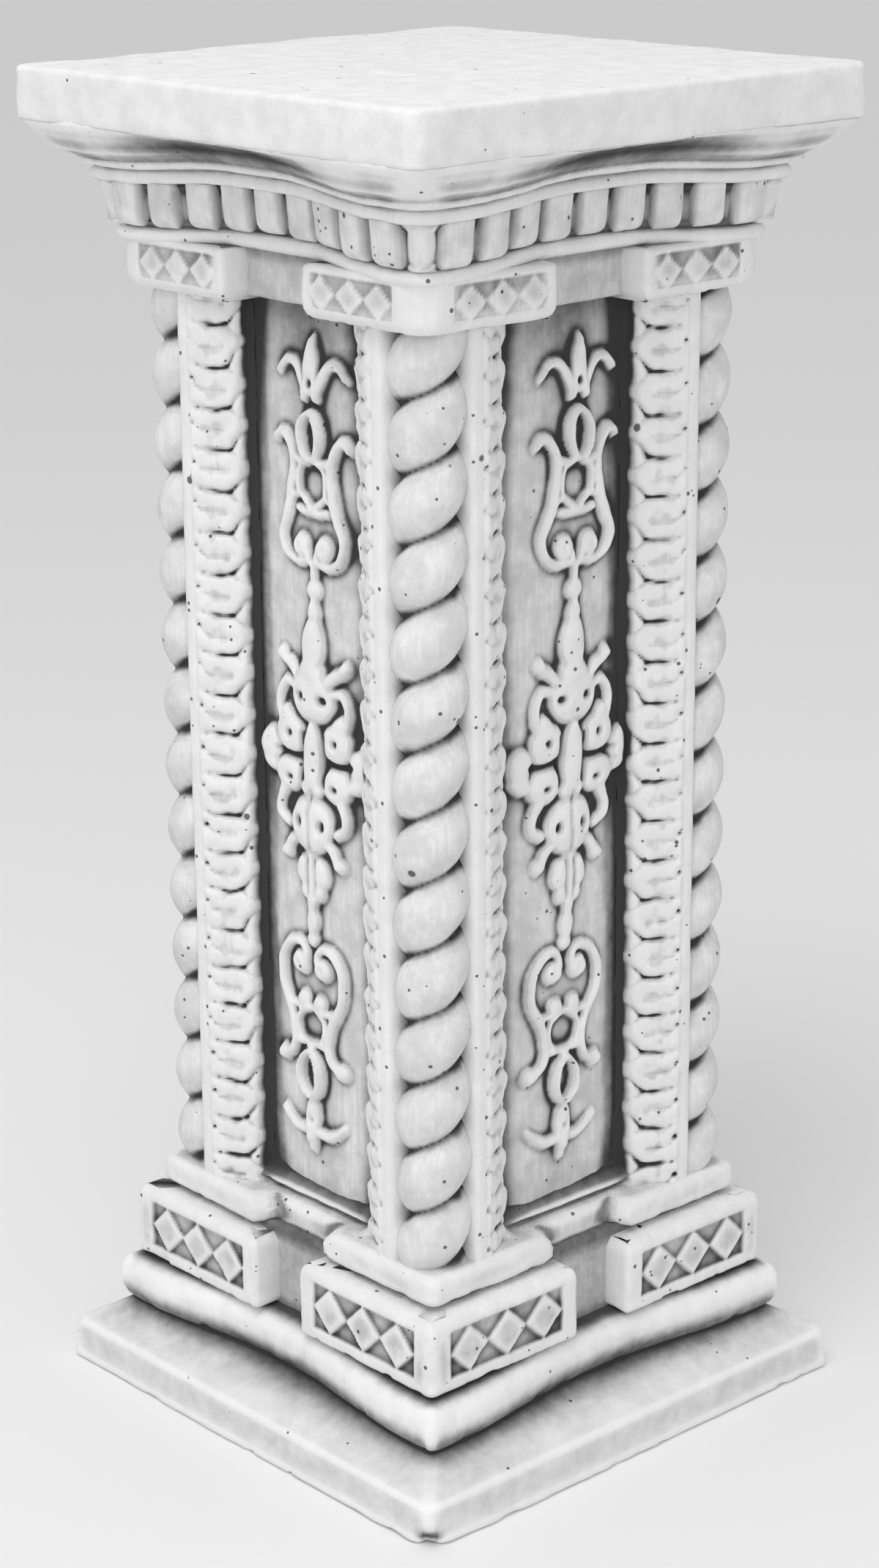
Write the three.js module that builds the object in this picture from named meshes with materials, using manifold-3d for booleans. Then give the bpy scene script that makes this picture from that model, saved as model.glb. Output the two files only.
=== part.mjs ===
// Decorative garden column, cast in stone as one piece: a square shaft with a
// twisted rope on each corner, leaf bands and a candelabra relief on each face,
// between a stepped base and a moulded cap.
// Millimetres, +Z up, origin at the centre of the underside.
// A face is described by u, along it from its centre line, and n, outward from
// the axis of the column. Face 0 looks towards -Y and the others are turned.

import * as THREE from 'three';
import { mergeVertices } from 'three/addons/utils/BufferGeometryUtils.js';
import Module from 'manifold-3d';

const wasm = await Module();
wasm.setup();

// Driving sizes of the whole column
const HEIGHT = 800;
const SLAB_HALF = 170.5;
const FACES = 4;
const SINK = 5;
const MIN_RADIUS = 1;

// Base, from the ground up
const FOOT = { half: 168.5, top: 26, corner: 7, easeBottom: 1.5, easeTop: 5 };
const FOOT_SLOPE = { half: 149, top: 42 };
const TORUS = { half: 146.5, bottom: 42, top: 71, waist: 134.5, dip: 12, corner: 7 };
const BASE_NECK = { half: 121, top: 122 };
const BASE_BLOCK = { half: 137, bottom: 74, top: 117, gap: 20, corner: 7, easeBottom: 3, easeTop: 9 };
const LEDGE = {
  half: 126, middle: 113, bottom: 121, top: 138, gap: 30, corner: 7, easeBottom: 3, easeTop: 5,
};
const SHAFT_FOOT = { front: 116, back: 95, top: 160 };

// Plan of the shaft
const PANEL = { half: 50, n: 94 };
const BAND = { inner: 51.8, innerN: 105.9, outer: 80.2, outerN: 122 };
const FILLET = { outer: 90.1, n: 121.9, back: 104 };
const SHAFT = { bottom: 130, top: 690 };

// Ropes on the corners
const ROPE = { axis: 101.8, radius: 20.7, groove: 14.6, pitch: 39, sides: 9, bottom: 88, turns: 16 };
const ROPE_ROWS = [[0, 0], [0.24, 0.93], [0.76, 0.93]];

// Leaf bands
const LEAF = {
  pitch: 24.05, first: 130.5, count: 23, rise: 4.5, sink: 1.5, tip: 3.5, notch: 2.5,
  fullest: 0.5, curl: 3,
};

// Cap, from below
const CAP_BLOCK = { half: 131.5, bottom: 676, top: 705, gap: 33, corner: 20, easeBottom: 8, easeTop: 3 };
const CAP_NECK = { half: 113, bottom: 678, top: 708 };
const CAP_WAVE = { recess: 23, flat: 20, out: 110, corner: 16, steps: 5 };
const DENTIL = {
  count: 9, pitch: 27.4, width: 18, bottom: 712, top: 737, frontLow: 137, frontHigh: 141, back: 126,
};
const DENTIL_CORNER = { half: 138.5, bottom: 712, top: 737, gap: 123, corner: 16, easeBottom: 0, easeTop: 0 };
const SLAB = { bottom: 769, corner: 9, ease: 3 };

// Lozenge ornament on the corner blocks
const LOZENGE = { count: 3, pitch: 29, rise: 3 };

// Relief on the panels: heights above the panel, and its slight lean
const RELIEF = { ridge: 10, boss: 11, low: 8, leanTop: 8, leanBottom: -4, middle: 411 };

// A closed solid from a three.js geometry
function solid(geometry) {
  const bare = geometry.clone();
  bare.deleteAttribute('normal');
  bare.deleteAttribute('uv');
  const merged = mergeVertices(bare, 1e-4);
  const vertProperties = new Float32Array(merged.attributes.position.array);
  const triVerts = new Uint32Array(merged.index.array);
  return new wasm.Manifold(new wasm.Mesh({ numProp: 3, vertProperties, triVerts }));
}

function join(parts) {
  return parts.reduce((whole, part) => whole.add(part));
}

// A closed solid through rings of equal length, each ring going round the
// same way when it is seen from the far end. Its ends close to their middles,
// or the far end to a tip.
function loft(rings, tip = null) {
  const size = rings[0].length;
  const positions = [];
  const index = [];
  for (const p of rings.flat()) positions.push(p.x, p.y, p.z);
  for (let r = 0; r < rings.length - 1; r++) {
    for (let i = 0; i < size; i++) {
      const a = r * size + i;
      const b = r * size + (i + 1) % size;
      index.push(a, b, b + size, a, b + size, a + size);
    }
  }
  const ends = [[rings[0], 0, true], [rings[rings.length - 1], (rings.length - 1) * size, false]];
  for (const [ring, start, flip] of ends) {
    const middle = ring.reduce((sum, p) => sum.add(p), new THREE.Vector3()).divideScalar(size);
    const centre = tip && !flip ? tip : middle;
    const flat = size <= 4 && centre !== tip;
    const hub = flat ? start : positions.length / 3;
    if (!flat) positions.push(centre.x, centre.y, centre.z);
    for (let i = flat ? 1 : 0; i < (flat ? size - 1 : size); i++) {
      const a = start + i;
      const b = start + (i + 1) % size;
      if (flip) index.push(hub, b, a);
      else index.push(hub, a, b);
    }
  }
  const geometry = new THREE.BufferGeometry();
  geometry.setAttribute('position', new THREE.Float32BufferAttribute(positions, 3));
  geometry.setIndex(index);
  return solid(geometry);
}

// The place of a point of a face in the column
function onFace(face, u, n, z) {
  const turn = face * Math.PI / 2;
  const x = u * Math.cos(turn) + n * Math.sin(turn);
  const y = u * Math.sin(turn) - n * Math.cos(turn);
  return new THREE.Vector3(x, y, z);
}

// One ring of a rectangle with rounded corners, drawn in by an inset
function roundedRing({ x0, x1, y0, y1, radii }, inset, z, arc) {
  const corners = [[x1, y0, 1, -1], [x1, y1, 1, 1], [x0, y1, -1, 1], [x0, y0, -1, -1]];
  return corners.flatMap(([x, y, sx, sy], i) => {
    if (radii[i] <= MIN_RADIUS) return [new THREE.Vector3(x - sx * inset, y - sy * inset, z)];
    const radius = Math.max(radii[i] - inset, MIN_RADIUS);
    const cx = x - sx * (inset + radius);
    const cy = y - sy * (inset + radius);
    return Array.from({ length: arc + 1 }, (_, k) => {
      const angle = (i - 1 + k / arc) * Math.PI / 2;
      return new THREE.Vector3(cx + radius * Math.cos(angle), cy + radius * Math.sin(angle), z);
    });
  });
}

// A block on a rounded rectangular plan, its lower and upper edges eased
function easedBlock(plan, bottom, top, easeBottom, easeTop, arc = 3, easeSteps = 2) {
  const rings = [];
  const steps = Array.from({ length: easeSteps + 1 }, (_, k) => k / easeSteps * Math.PI / 2);
  for (const a of steps) {
    const inset = easeBottom * (1 - Math.sin(a));
    rings.push(roundedRing(plan, inset, bottom + easeBottom * (1 - Math.cos(a)), arc));
  }
  for (const a of steps) {
    const inset = easeTop * (1 - Math.cos(a));
    rings.push(roundedRing(plan, inset, top - easeTop * (1 - Math.sin(a)), arc));
  }
  return loft(rings);
}

// A block on a square plan centred on the column
function squareBlock(half, corner, bottom, top, easeBottom, easeTop, arc = 3, easeSteps = 2) {
  const plan = { x0: -half, x1: half, y0: -half, y1: half, radii: [corner, corner, corner, corner] };
  return easedBlock(plan, bottom, top, easeBottom, easeTop, arc, easeSteps);
}

// Plan of the wavy mouldings: corners project, the middle of each face recedes
function waveN(half, recess, u) {
  const t = THREE.MathUtils.smoothstep(Math.abs(u), CAP_WAVE.flat, CAP_WAVE.out);
  return half - recess * (1 - t);
}

// One ring of a moulding whose middle recedes and whose corners are rounded
function waveRing(half, recess, corner, z, steps = CAP_WAVE.steps) {
  const ring = [];
  const reach = half - corner;
  const arc = 2;
  for (let face = 0; face < FACES; face++) {
    for (let i = 0; i <= steps; i++) {
      const u = -reach + 2 * reach * i / steps;
      ring.push(onFace(face, u, waveN(half, recess, u), z));
    }
    for (let i = 1; i < arc; i++) {
      const a = i / arc * Math.PI / 2;
      ring.push(onFace(face, reach + corner * Math.sin(a), reach + corner * Math.cos(a), z));
    }
  }
  return ring;
}

// A moulding swept round the wavy plan, from its profile of (half, z, share of the wave)
function waveMoulding(profile, recess, corner) {
  return loft(profile.map(([half, z, share]) => waveRing(half, recess * share, corner, z)));
}

// Points of a rounded nose from one height to another, as (half, z)
function nose(back, front, bottom, top, steps) {
  return Array.from({ length: steps + 1 }, (_, i) => {
    const a = -Math.PI / 2 + Math.PI * i / steps;
    const z = (bottom + top) / 2 + (top - bottom) / 2 * Math.sin(a);
    return [back + (front - back) * Math.cos(a), z];
  });
}

// Base

function foot() {
  const slab = squareBlock(FOOT.half, FOOT.corner, 0, FOOT.top, FOOT.easeBottom, FOOT.easeTop, 2, 1);
  const slope = loft([
    waveRing(FOOT.half - FOOT.easeTop, 0, FOOT.corner, FOOT.top - SINK, 4),
    waveRing(FOOT.half - FOOT.easeTop, 0, FOOT.corner, FOOT.top, 4),
    waveRing(FOOT_SLOPE.half, TORUS.dip, FOOT.corner, FOOT_SLOPE.top, 4),
    waveRing(FOOT_SLOPE.half - 2 * SINK, TORUS.dip, FOOT.corner, FOOT_SLOPE.top + 1, 4),
  ]);
  return slab.add(slope);
}

function torus() {
  const profile = nose(TORUS.waist, TORUS.half, TORUS.bottom - 1, TORUS.top, 3);
  const rings = profile.map(([half, z]) => waveRing(half, TORUS.dip, TORUS.corner, z, 5));
  return loft(rings);
}

// A square block at each corner, leaving a plain gap in the middle of each face
function cornerBlocks({ half, bottom, top, gap, corner, easeBottom, easeTop }) {
  const plan = { x0: gap, x1: half, y0: -half, y1: -gap, radii: [corner, 0, 0, 0] };
  const block = easedBlock(plan, bottom, top, easeBottom, easeTop, 2, 1);
  return join(Array.from({ length: FACES }, (_, i) => block.rotate([0, 0, 90 * i])));
}

// A row of low pointed lozenges on both faces of every corner block
function lozengeRow(half, from, bottom, top) {
  const parts = [];
  const { count, pitch, rise } = LOZENGE;
  const middle = (bottom + top) / 2;
  const tall = (top - bottom) / 2;
  for (let face = 0; face < FACES; face++) {
    for (const side of [-1, 1]) {
      for (let i = 0; i < count; i++) {
        const u = side * (from + pitch * (i + 0.5));
        const wide = pitch / 2;
        const outline = [[u - wide, middle], [u, middle - tall], [u + wide, middle], [u, middle + tall]];
        const ring = outline.map(([a, z]) => onFace(face, a, half, z));
        parts.push(loft([ring], onFace(face, u, half + rise, middle)));
      }
    }
  }
  return join(parts);
}

function baseBlocks() {
  return cornerBlocks(BASE_BLOCK).add(lozengeRow(BASE_BLOCK.half, 34, 82, 111));
}

function ledge() {
  const corners = cornerBlocks(LEDGE);
  const middle = squareBlock(LEDGE.middle, 6, LEDGE.bottom, LEDGE.top, 2, LEDGE.easeTop, 2, 1);
  return corners.add(middle);
}

// The sloping top of the base, rising to the foot of the panels
function shaftFoot() {
  return loft([
    waveRing(SHAFT_FOOT.front, 0, 8, LEDGE.top - SINK, 1),
    waveRing(SHAFT_FOOT.front, 0, 8, LEDGE.top + 1, 1),
    waveRing((SHAFT_FOOT.front + SHAFT_FOOT.back) / 2, 0, 8, LEDGE.top + 6, 1),
    waveRing(SHAFT_FOOT.back, 0, 8, SHAFT_FOOT.top, 1),
  ]);
}

// Shaft

// Plan of the shaft: panel, wall, sloping leaf band, fillet and rope groove
function shaftCore() {
  const half = [
    [PANEL.half, PANEL.n],
    [BAND.inner, BAND.innerN],
    [BAND.outer, BAND.outerN],
    [FILLET.outer, FILLET.n],
    [FILLET.outer, FILLET.back],
  ];
  const left = half.map(([u, n]) => [-u, n]).reverse();
  const ring = (z) => {
    const points = [];
    for (let face = 0; face < FACES; face++) {
      for (const [u, n] of [...left, ...half]) points.push(onFace(face, u, n, z));
    }
    return points;
  };
  return loft([ring(SHAFT.bottom), ring(SHAFT.top)]);
}

// A right-handed twist of fat lobes; its rows follow the grooves
function rope() {
  const rings = [];
  for (let turn = 0; turn < ROPE.turns; turn++) {
    for (const [phase, fullness] of ROPE_ROWS) {
      const ring = [];
      for (let i = 0; i < ROPE.sides; i++) {
        const angle = 2 * Math.PI * i / ROPE.sides - 0.75 * Math.PI;
        const climb = turn + phase + i / ROPE.sides;
        const radius = ROPE.groove + (ROPE.radius - ROPE.groove) * fullness;
        ring.push(new THREE.Vector3(
          ROPE.axis + radius * Math.cos(angle),
          ROPE.axis + radius * Math.sin(angle),
          ROPE.bottom + ROPE.pitch * climb,
        ));
      }
      rings.push(ring);
    }
  }
  return helixLoft(rings);
}

// Closes the seam of a twist, where each ring ends one pitch above its start
function helixLoft(rings) {
  const rows = ROPE_ROWS.length;
  const sides = ROPE.sides;
  const positions = rings.flat().flatMap((p) => [p.x, p.y, p.z]);
  const index = [];
  const at = (row, i) => (i === sides ? (row + rows) * sides : row * sides + i);
  const last = rings.length - rows;
  for (let row = 0; row < last - 1; row++) {
    for (let i = 0; i < sides; i++) {
      const a = at(row, i);
      const b = at(row, i + 1);
      const c = at(row + 1, i + 1);
      const d = at(row + 1, i);
      index.push(a, b, c, a, c, d);
    }
  }
  // Each end is a spiral edge and a step up its seam, closed from one point
  const lower = Array.from({ length: sides + 1 }, (_, i) => at(0, i));
  for (let row = rows - 1; row > 0; row--) lower.push(at(row, 0));
  const upper = Array.from({ length: sides + 1 }, (_, i) => at(last - 1, i));
  for (let row = last - 2 + rows; row > last - 1; row--) upper.push(at(row, 0));
  for (const [loop, flip] of [[lower, true], [upper, false]]) {
    const hub = positions.length / 3;
    const heights = loop.map((v) => positions[3 * v + 2]);
    const middle = heights.reduce((sum, z) => sum + z, 0) / loop.length;
    positions.push(ROPE.axis, ROPE.axis, middle);
    loop.forEach((v, i) => {
      const w = loop[(i + 1) % loop.length];
      if (flip) index.push(hub, w, v);
      else index.push(hub, v, w);
    });
  }
  const geometry = new THREE.BufferGeometry();
  geometry.setAttribute('position', new THREE.Float32BufferAttribute(positions, 3));
  geometry.setIndex(index);
  return solid(geometry);
}

// One leaf band: overlapping lobes whose round tips overhang the panel wall
function leafBand(face, side) {
  const slope = new THREE.Vector2(BAND.outer - BAND.inner, BAND.outerN - BAND.innerN);
  const length = slope.length();
  slope.normalize();
  const out = new THREE.Vector2(-slope.y, slope.x);
  const ring = (z, lift, tip, curl) => {
    const place = (along, height, climb) => onFace(
      face,
      side * (BAND.inner + slope.x * along + out.x * height),
      BAND.innerN + slope.y * along + out.y * height,
      z + climb,
    );
    const points = [
      place(length, 0, 0),
      place(-tip, lift, curl),
      place(length * 0.3, -SINK, 0),
    ];
    return side < 0 ? points : points.reverse();
  };
  const rings = [];
  for (let i = 0; i < LEAF.count; i++) {
    const z = LEAF.first + LEAF.pitch * i;
    rings.push(ring(z, -LEAF.sink, -LEAF.notch, LEAF.curl));
    rings.push(ring(z + LEAF.pitch * LEAF.fullest, LEAF.rise, LEAF.tip, 0));
  }
  rings.push(ring(LEAF.first + LEAF.pitch * LEAF.count, -LEAF.sink, -LEAF.notch, 0));
  return loft(rings);
}

// Relief on the panels

function lean(z) {
  const t = (z - 168) / (658 - 168);
  return THREE.MathUtils.lerp(RELIEF.leanBottom, RELIEF.leanTop, t);
}

// A raised stem of triangular section along points in (u, z)
function ridge(points, halfWidth, height = RELIEF.ridge, closed = false) {
  const path = points.map(([u, z]) => new THREE.Vector2(u, z));
  const count = path.length;
  const rings = path.map((p, i) => {
    const before = path[closed ? (i - 1 + count) % count : Math.max(i - 1, 0)];
    const after = path[closed ? (i + 1) % count : Math.min(i + 1, count - 1)];
    const way = after.clone().sub(before).normalize();
    const across = new THREE.Vector2(-way.y, way.x);
    const width = Array.isArray(halfWidth) ? halfWidth[i] : halfWidth;
    const end = !closed && (i === 0 || i === count - 1);
    const left = p.clone().addScaledVector(across, width);
    const right = p.clone().addScaledVector(across, -width);
    return [
      [left.x, left.y, PANEL.n],
      [right.x, right.y, PANEL.n],
      [p.x, p.y, PANEL.n + (end ? height * 0.6 : height)],
    ];
  });
  return { rings, closed };
}

// A raised boss: an outline in (u, z) drawn in to a smaller top
function boss(outline, height = RELIEF.boss, shrink = 0.6) {
  const [u0, z0] = middleOf(outline);
  const crown = outline.map(([u, z]) => [
    THREE.MathUtils.lerp(u0, u, shrink),
    THREE.MathUtils.lerp(z0, z, shrink),
    PANEL.n + height,
  ]);
  const root = outline.map(([u, z]) => [u, z, PANEL.n]);
  return { rings: [root, crown], closed: false };
}

// A boss that runs up to a point
function peak(outline, height = RELIEF.boss) {
  const [u0, z0] = middleOf(outline);
  const root = outline.map(([u, z]) => [u, z, PANEL.n]);
  return { rings: [root], closed: false, tip: [u0, z0, PANEL.n + height] };
}

function middleOf(outline) {
  const sum = outline.reduce(([a, b], [u, z]) => [a + u, b + z], [0, 0]);
  return sum.map((value) => value / outline.length);
}

function oval(u, z, halfWidth, halfHeight, sides, turn = 0) {
  return Array.from({ length: sides }, (_, i) => {
    const a = turn + 2 * Math.PI * i / sides;
    return [u + halfWidth * Math.cos(a), z + halfHeight * Math.sin(a)];
  });
}

// Lyre with its ring and its flower at one end of the relief, above the middle
function lyreForms() {
  const forms = [];
  const arm = [[27, 601], [16, 584], [28, 550], [20, 531], [4, 528]];
  const armWidths = [5, 5, 6, 5.5, 4];
  for (const side of [-1, 1]) {
    const turned = (points) => points.map(([u, z]) => [side * u, z]);
    forms.push(ridge(turned(arm), armWidths));
    forms.push(peak(oval(side * 10, 538, 9, 8, 4), RELIEF.boss));
    forms.push(ridge(turned([[3, 635], [15, 643], [28, 636]]), [5, 5, 4]));
  }
  forms.push(ridge(oval(0, 601, 8, 14.5, 7, Math.PI / 2), 4, RELIEF.ridge, true));
  forms.push(peak([[-10, 640], [-6, 621], [6, 621], [10, 640], [0, 660]], RELIEF.boss + 3));
  return forms;
}

// Stem, vase, cartouche, side leaves, scrolls and pendant between the lyres
function stemForms() {
  const forms = [];
  forms.push(peak([[-8, 513], [-4, 498], [4, 498], [8, 513], [0, 530]]));
  forms.push(peak([[-7, 502], [-13, 484], [-9, 464], [9, 464], [13, 484], [7, 502]], RELIEF.boss + 3));
  forms.push(boss(oval(0, 452, 20, 18, 7, -Math.PI / 2)));
  forms.push(peak([[-11, 425], [-9, 402], [0, 390], [9, 402], [11, 425], [0, 437]], RELIEF.boss + 3));
  forms.push(boss(oval(0, 374, 19, 18, 7, Math.PI / 2)));
  forms.push(peak([[-13, 346], [-4, 322], [4, 322], [13, 346], [0, 360]], RELIEF.boss + 2));
  forms.push(peak([[-7, 313], [0, 294], [7, 313], [0, 326]], RELIEF.low));
  for (const side of [-1, 1]) {
    const turned = (points) => points.map(([u, z]) => [side * u, z]);
    forms.push(ridge(turned([[15, 466], [29, 479]]), 5));
    forms.push(ridge(turned([[20, 458], [26, 438]]), 5));
    forms.push(peak(oval(side * 24, 426, 14, 15, 5, Math.PI / 2), RELIEF.boss + 2));
    forms.push(peak(oval(side * 41, 416, 9, 11, 4), RELIEF.low));
    forms.push(peak(oval(side * 24, 400, 14, 12, 5, -Math.PI / 2), RELIEF.boss + 2));
    forms.push(ridge(turned([[28, 388], [19, 371]]), 5));
  }
  return forms;
}

function panelRelief(face) {
  const upper = lyreForms();
  const mirror = ([u, z, n]) => [u, 2 * RELIEF.middle - z, n];
  const lower = lyreForms().map(({ rings, closed, tip }) => ({
    rings: rings.map((ring) => ring.map(mirror).reverse()),
    closed,
    tip: tip && mirror(tip),
  }));
  const forms = [...upper, ...stemForms(), ...lower];
  const place = ([u, z, n]) => onFace(face, u + lean(z), n, z);
  const solids = forms.map(({ rings, closed, tip }) => {
    const placed = rings.map((ring) => ring.map(place));
    if (closed) return closedRidge(placed);
    return loft(facing(placed, tip && place(tip)), tip && place(tip));
  });
  return join(solids);
}

// Turns the rings of a form so that its surface faces out
function facing(rings, tip = null) {
  const a = rings[0];
  const normal = new THREE.Vector3();
  const centre = a.reduce((sum, p) => sum.add(p), new THREE.Vector3()).divideScalar(a.length);
  a.forEach((p, i) => {
    const q = a[(i + 1) % a.length];
    normal.add(p.clone().sub(centre).cross(q.clone().sub(centre)));
  });
  const far = tip ? [tip] : rings[1];
  const next = far.reduce((sum, p) => sum.add(p), new THREE.Vector3()).divideScalar(far.length);
  if (normal.dot(next.sub(centre)) > 0) return rings;
  return rings.map((ring) => [...ring].reverse());
}

// A ring of a stem that closes on itself
function closedRidge(rings) {
  const size = rings[0].length;
  const positions = rings.flat().flatMap((p) => [p.x, p.y, p.z]);
  const index = [];
  const aligned = facing(rings) === rings;
  for (let r = 0; r < rings.length; r++) {
    const next = (r + 1) % rings.length;
    for (let i = 0; i < size; i++) {
      const j = (i + 1) % size;
      const quad = [r * size + i, r * size + j, next * size + j, next * size + i];
      const [a, b, c, d] = aligned ? quad : quad.reverse();
      index.push(a, b, c, a, c, d);
    }
  }
  const geometry = new THREE.BufferGeometry();
  geometry.setAttribute('position', new THREE.Float32BufferAttribute(positions, 3));
  geometry.setIndex(index);
  return solid(geometry);
}

// Cap

function capBlocks() {
  const neck = squareBlock(CAP_NECK.half, 6, CAP_NECK.bottom, CAP_NECK.top, 2, 2, 2, 1);
  return cornerBlocks(CAP_BLOCK).add(neck);
}

// String course, dentil ground, roundel, and a cavetto that runs out straight under the slab
function capMouldings() {
  const profile = [
    [126, 701, 1],
    [134.5, 706.5, 1],
    [129, 711, 1],
    [133, 735, 1],
    [144.5, 739.5, 1],
    [147.5, 747.5, 1],
    [159, 755, 0.6],
    [168.5, 770, 0],
  ];
  return waveMoulding(profile, CAP_WAVE.recess, CAP_WAVE.corner);
}

// Row of dentils, each following the wave, with a plain block round every corner
function dentils() {
  const parts = [cornerBlocks(DENTIL_CORNER)];
  const { count, pitch, width, bottom, top, frontLow, frontHigh, back } = DENTIL;
  for (let face = 0; face < FACES; face++) {
    for (let i = 0; i < count; i++) {
      const u = (i - (count - 1) / 2) * pitch;
      const ring = (low, high) => {
        const place = (du, depth, z) => onFace(face, u + du, waveN(depth, CAP_WAVE.recess, u + du), z);
        const half = width / 2;
        return [
          place(-half, low, bottom),
          place(half, low, bottom),
          place(half, high, top),
          place(-half, high, top),
        ];
      };
      parts.push(loft([ring(back, back), ring(frontLow, frontHigh)]));
    }
  }
  return join(parts);
}

function topSlab() {
  return squareBlock(SLAB_HALF, SLAB.corner, SLAB.bottom, HEIGHT, SLAB.ease, SLAB.ease, 3, 1);
}

// The column

function column() {
  const base = join([
    foot(),
    torus(),
    squareBlock(BASE_NECK.half, 6, TORUS.bottom, BASE_NECK.top, 1, 1, 2, 1),
    baseBlocks(),
    ledge(),
    shaftFoot(),
  ]);
  const faces = Array.from({ length: FACES }, (_, face) => join([
    leafBand(face, -1),
    leafBand(face, 1),
    panelRelief(face),
  ]));
  const twist = rope();
  const ropes = join(Array.from({ length: FACES }, (_, i) => twist.rotate([0, 0, 90 * i])));
  const cap = join([capBlocks(), capMouldings(), dentils(), topSlab()]);
  return join([shaftCore(), ropes, ...faces, base, cap]);
}

// A three.js geometry with the solid's own vertices and triangles
function geometryOf(shape) {
  const mesh = shape.getMesh();
  const geometry = new THREE.BufferGeometry();
  const positions = new Float32Array(mesh.numVert * 3);
  for (let v = 0; v < mesh.numVert; v++) {
    const start = mesh.numProp * v;
    positions.set(mesh.vertProperties.subarray(start, start + 3), 3 * v);
  }
  geometry.setAttribute('position', new THREE.BufferAttribute(positions, 3));
  geometry.setIndex(new THREE.BufferAttribute(new Uint32Array(mesh.triVerts), 1));
  geometry.computeVertexNormals();
  return geometry;
}

const castStone = new THREE.MeshStandardMaterial({ color: 0xb9b8b4, roughness: 0.9, metalness: 0 });
const columnMesh = new THREE.Mesh(geometryOf(column()), castStone);
columnMesh.name = 'column';

const group = new THREE.Group();
group.add(columnMesh);

export default group;
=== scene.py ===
import math

import bpy
import numpy as np
from mathutils import Matrix, Vector


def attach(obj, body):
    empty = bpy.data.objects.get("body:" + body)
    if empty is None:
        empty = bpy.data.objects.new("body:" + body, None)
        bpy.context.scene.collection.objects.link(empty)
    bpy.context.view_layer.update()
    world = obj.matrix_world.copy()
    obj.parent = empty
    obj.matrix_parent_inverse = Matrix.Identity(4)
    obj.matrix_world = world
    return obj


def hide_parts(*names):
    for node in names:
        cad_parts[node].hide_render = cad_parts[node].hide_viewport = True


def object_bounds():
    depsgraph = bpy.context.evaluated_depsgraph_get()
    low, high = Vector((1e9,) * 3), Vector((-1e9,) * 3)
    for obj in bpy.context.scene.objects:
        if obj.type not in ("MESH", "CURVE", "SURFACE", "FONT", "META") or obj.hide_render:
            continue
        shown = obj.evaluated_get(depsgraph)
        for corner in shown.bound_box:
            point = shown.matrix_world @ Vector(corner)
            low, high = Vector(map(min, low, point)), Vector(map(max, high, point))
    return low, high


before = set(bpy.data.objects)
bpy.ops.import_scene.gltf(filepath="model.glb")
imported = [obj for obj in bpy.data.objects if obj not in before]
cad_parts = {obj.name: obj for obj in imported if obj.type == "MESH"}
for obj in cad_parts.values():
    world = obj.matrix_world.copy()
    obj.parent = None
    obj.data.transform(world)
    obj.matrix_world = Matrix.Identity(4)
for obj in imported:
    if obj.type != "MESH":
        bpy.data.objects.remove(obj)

cad_low, cad_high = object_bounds()

# Sizes in millimetres: z up from the floor, u along a face from its middle, n out from the column's axis
MM = 0.001
HEIGHT = (cad_high.z - cad_low.z) / MM
SLAB_HALF = (cad_high.x - cad_low.x) / 2 / MM
FACES = 4
NAMES = ("front", "right", "back", "left")

SLAB = {"bottom": HEIGHT - 31, "corner": 9, "ease": 3}
FOOT = {"half": 168.5, "top": 27, "corner": 6, "ease": 6}
TORUS = {"half": 146.5, "waist": 135.5, "bottom": 42, "top": 71, "dip": 12}
BASE_BLOCK = {"half": 137, "gap": 20, "bottom": 73, "top": 118, "corner": 6, "ease_bottom": 3, "ease_top": 7}
BASE_NECK = {"half": 119.5, "bottom": 66, "top": 124}
LEDGE = {"half": 126, "gap": 31, "middle": 113, "bottom": 120.5, "top": 138}
SHAFT = {"bottom": 128, "top": 696}
PANEL = {"half": 50, "n": 94.5}
BAND = {"inner": (51.8, 105.9), "outer": (80.2, 122)}
FILLET = {"outer": (88.2, 121.9), "back": (88.6, 100), "root": (84, 86)}
ROPE = {"axis": 101.8, "radius": 21.6, "groove": 13, "pitch": 39, "bottom": 88, "first": 126, "last": 694}
CAP_BLOCK = {
    "half": 131.5, "gap": 33, "bottom": 676, "top": 706, "corner": 19, "ease_bottom": 9, "ease_top": 3,
}
CAP_NECK = {"half": 113, "bottom": 678, "top": 711}
CAP_WAVE = {"recess": 12, "lift": 4.5, "flat": 20, "out": 112, "corner": 16}
DENTIL = {
    "count": 9, "pitch": 27.4, "width": 18.5, "bottom": 711.5, "top": 737,
    "ground": 130, "stand": 8.5, "corner": 121,
}
LEAF = {"pitch": 24.1, "notch": (563.2, 560, 563.2, 560), "height": 4.2, "scallop": 1.0}
# Sideways place of the relief's middle line (second row) at heights (first row), and its shift on each face
LEAN = (
    (170, 217, 280, 330, 378, 420, 485, 530, 600, 665),
    (-3, -2.1, -0.5, 1.5, 2.2, 4.6, 5.8, 7.6, 8.4, 9.4),
)
SHIFT = (-2.2, 1.5, -2.2, 1.5)
# Spacing of the rows of points up the shaft and up the ropes
SHAFT_ROWS = 1.52
ROPE_ROWS = 1.75
# Room left under the CAD's box for the worn surface
WEAR = 0.6

# Numbers that repeat the same way each run


def lattice(ix, iy, iz, seed):
    """A repeatable number from -1 to 1 for every corner of a lattice."""
    n = (ix * 73856093) ^ (iy * 19349663) ^ (iz * 83492791) ^ (seed * 49979693)
    n = (n ^ (n >> 13)) * 1274126177
    n = (n ^ (n >> 16)) & 0x7FFFFFFF
    return n / 0x3FFFFFFF - 1


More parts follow.
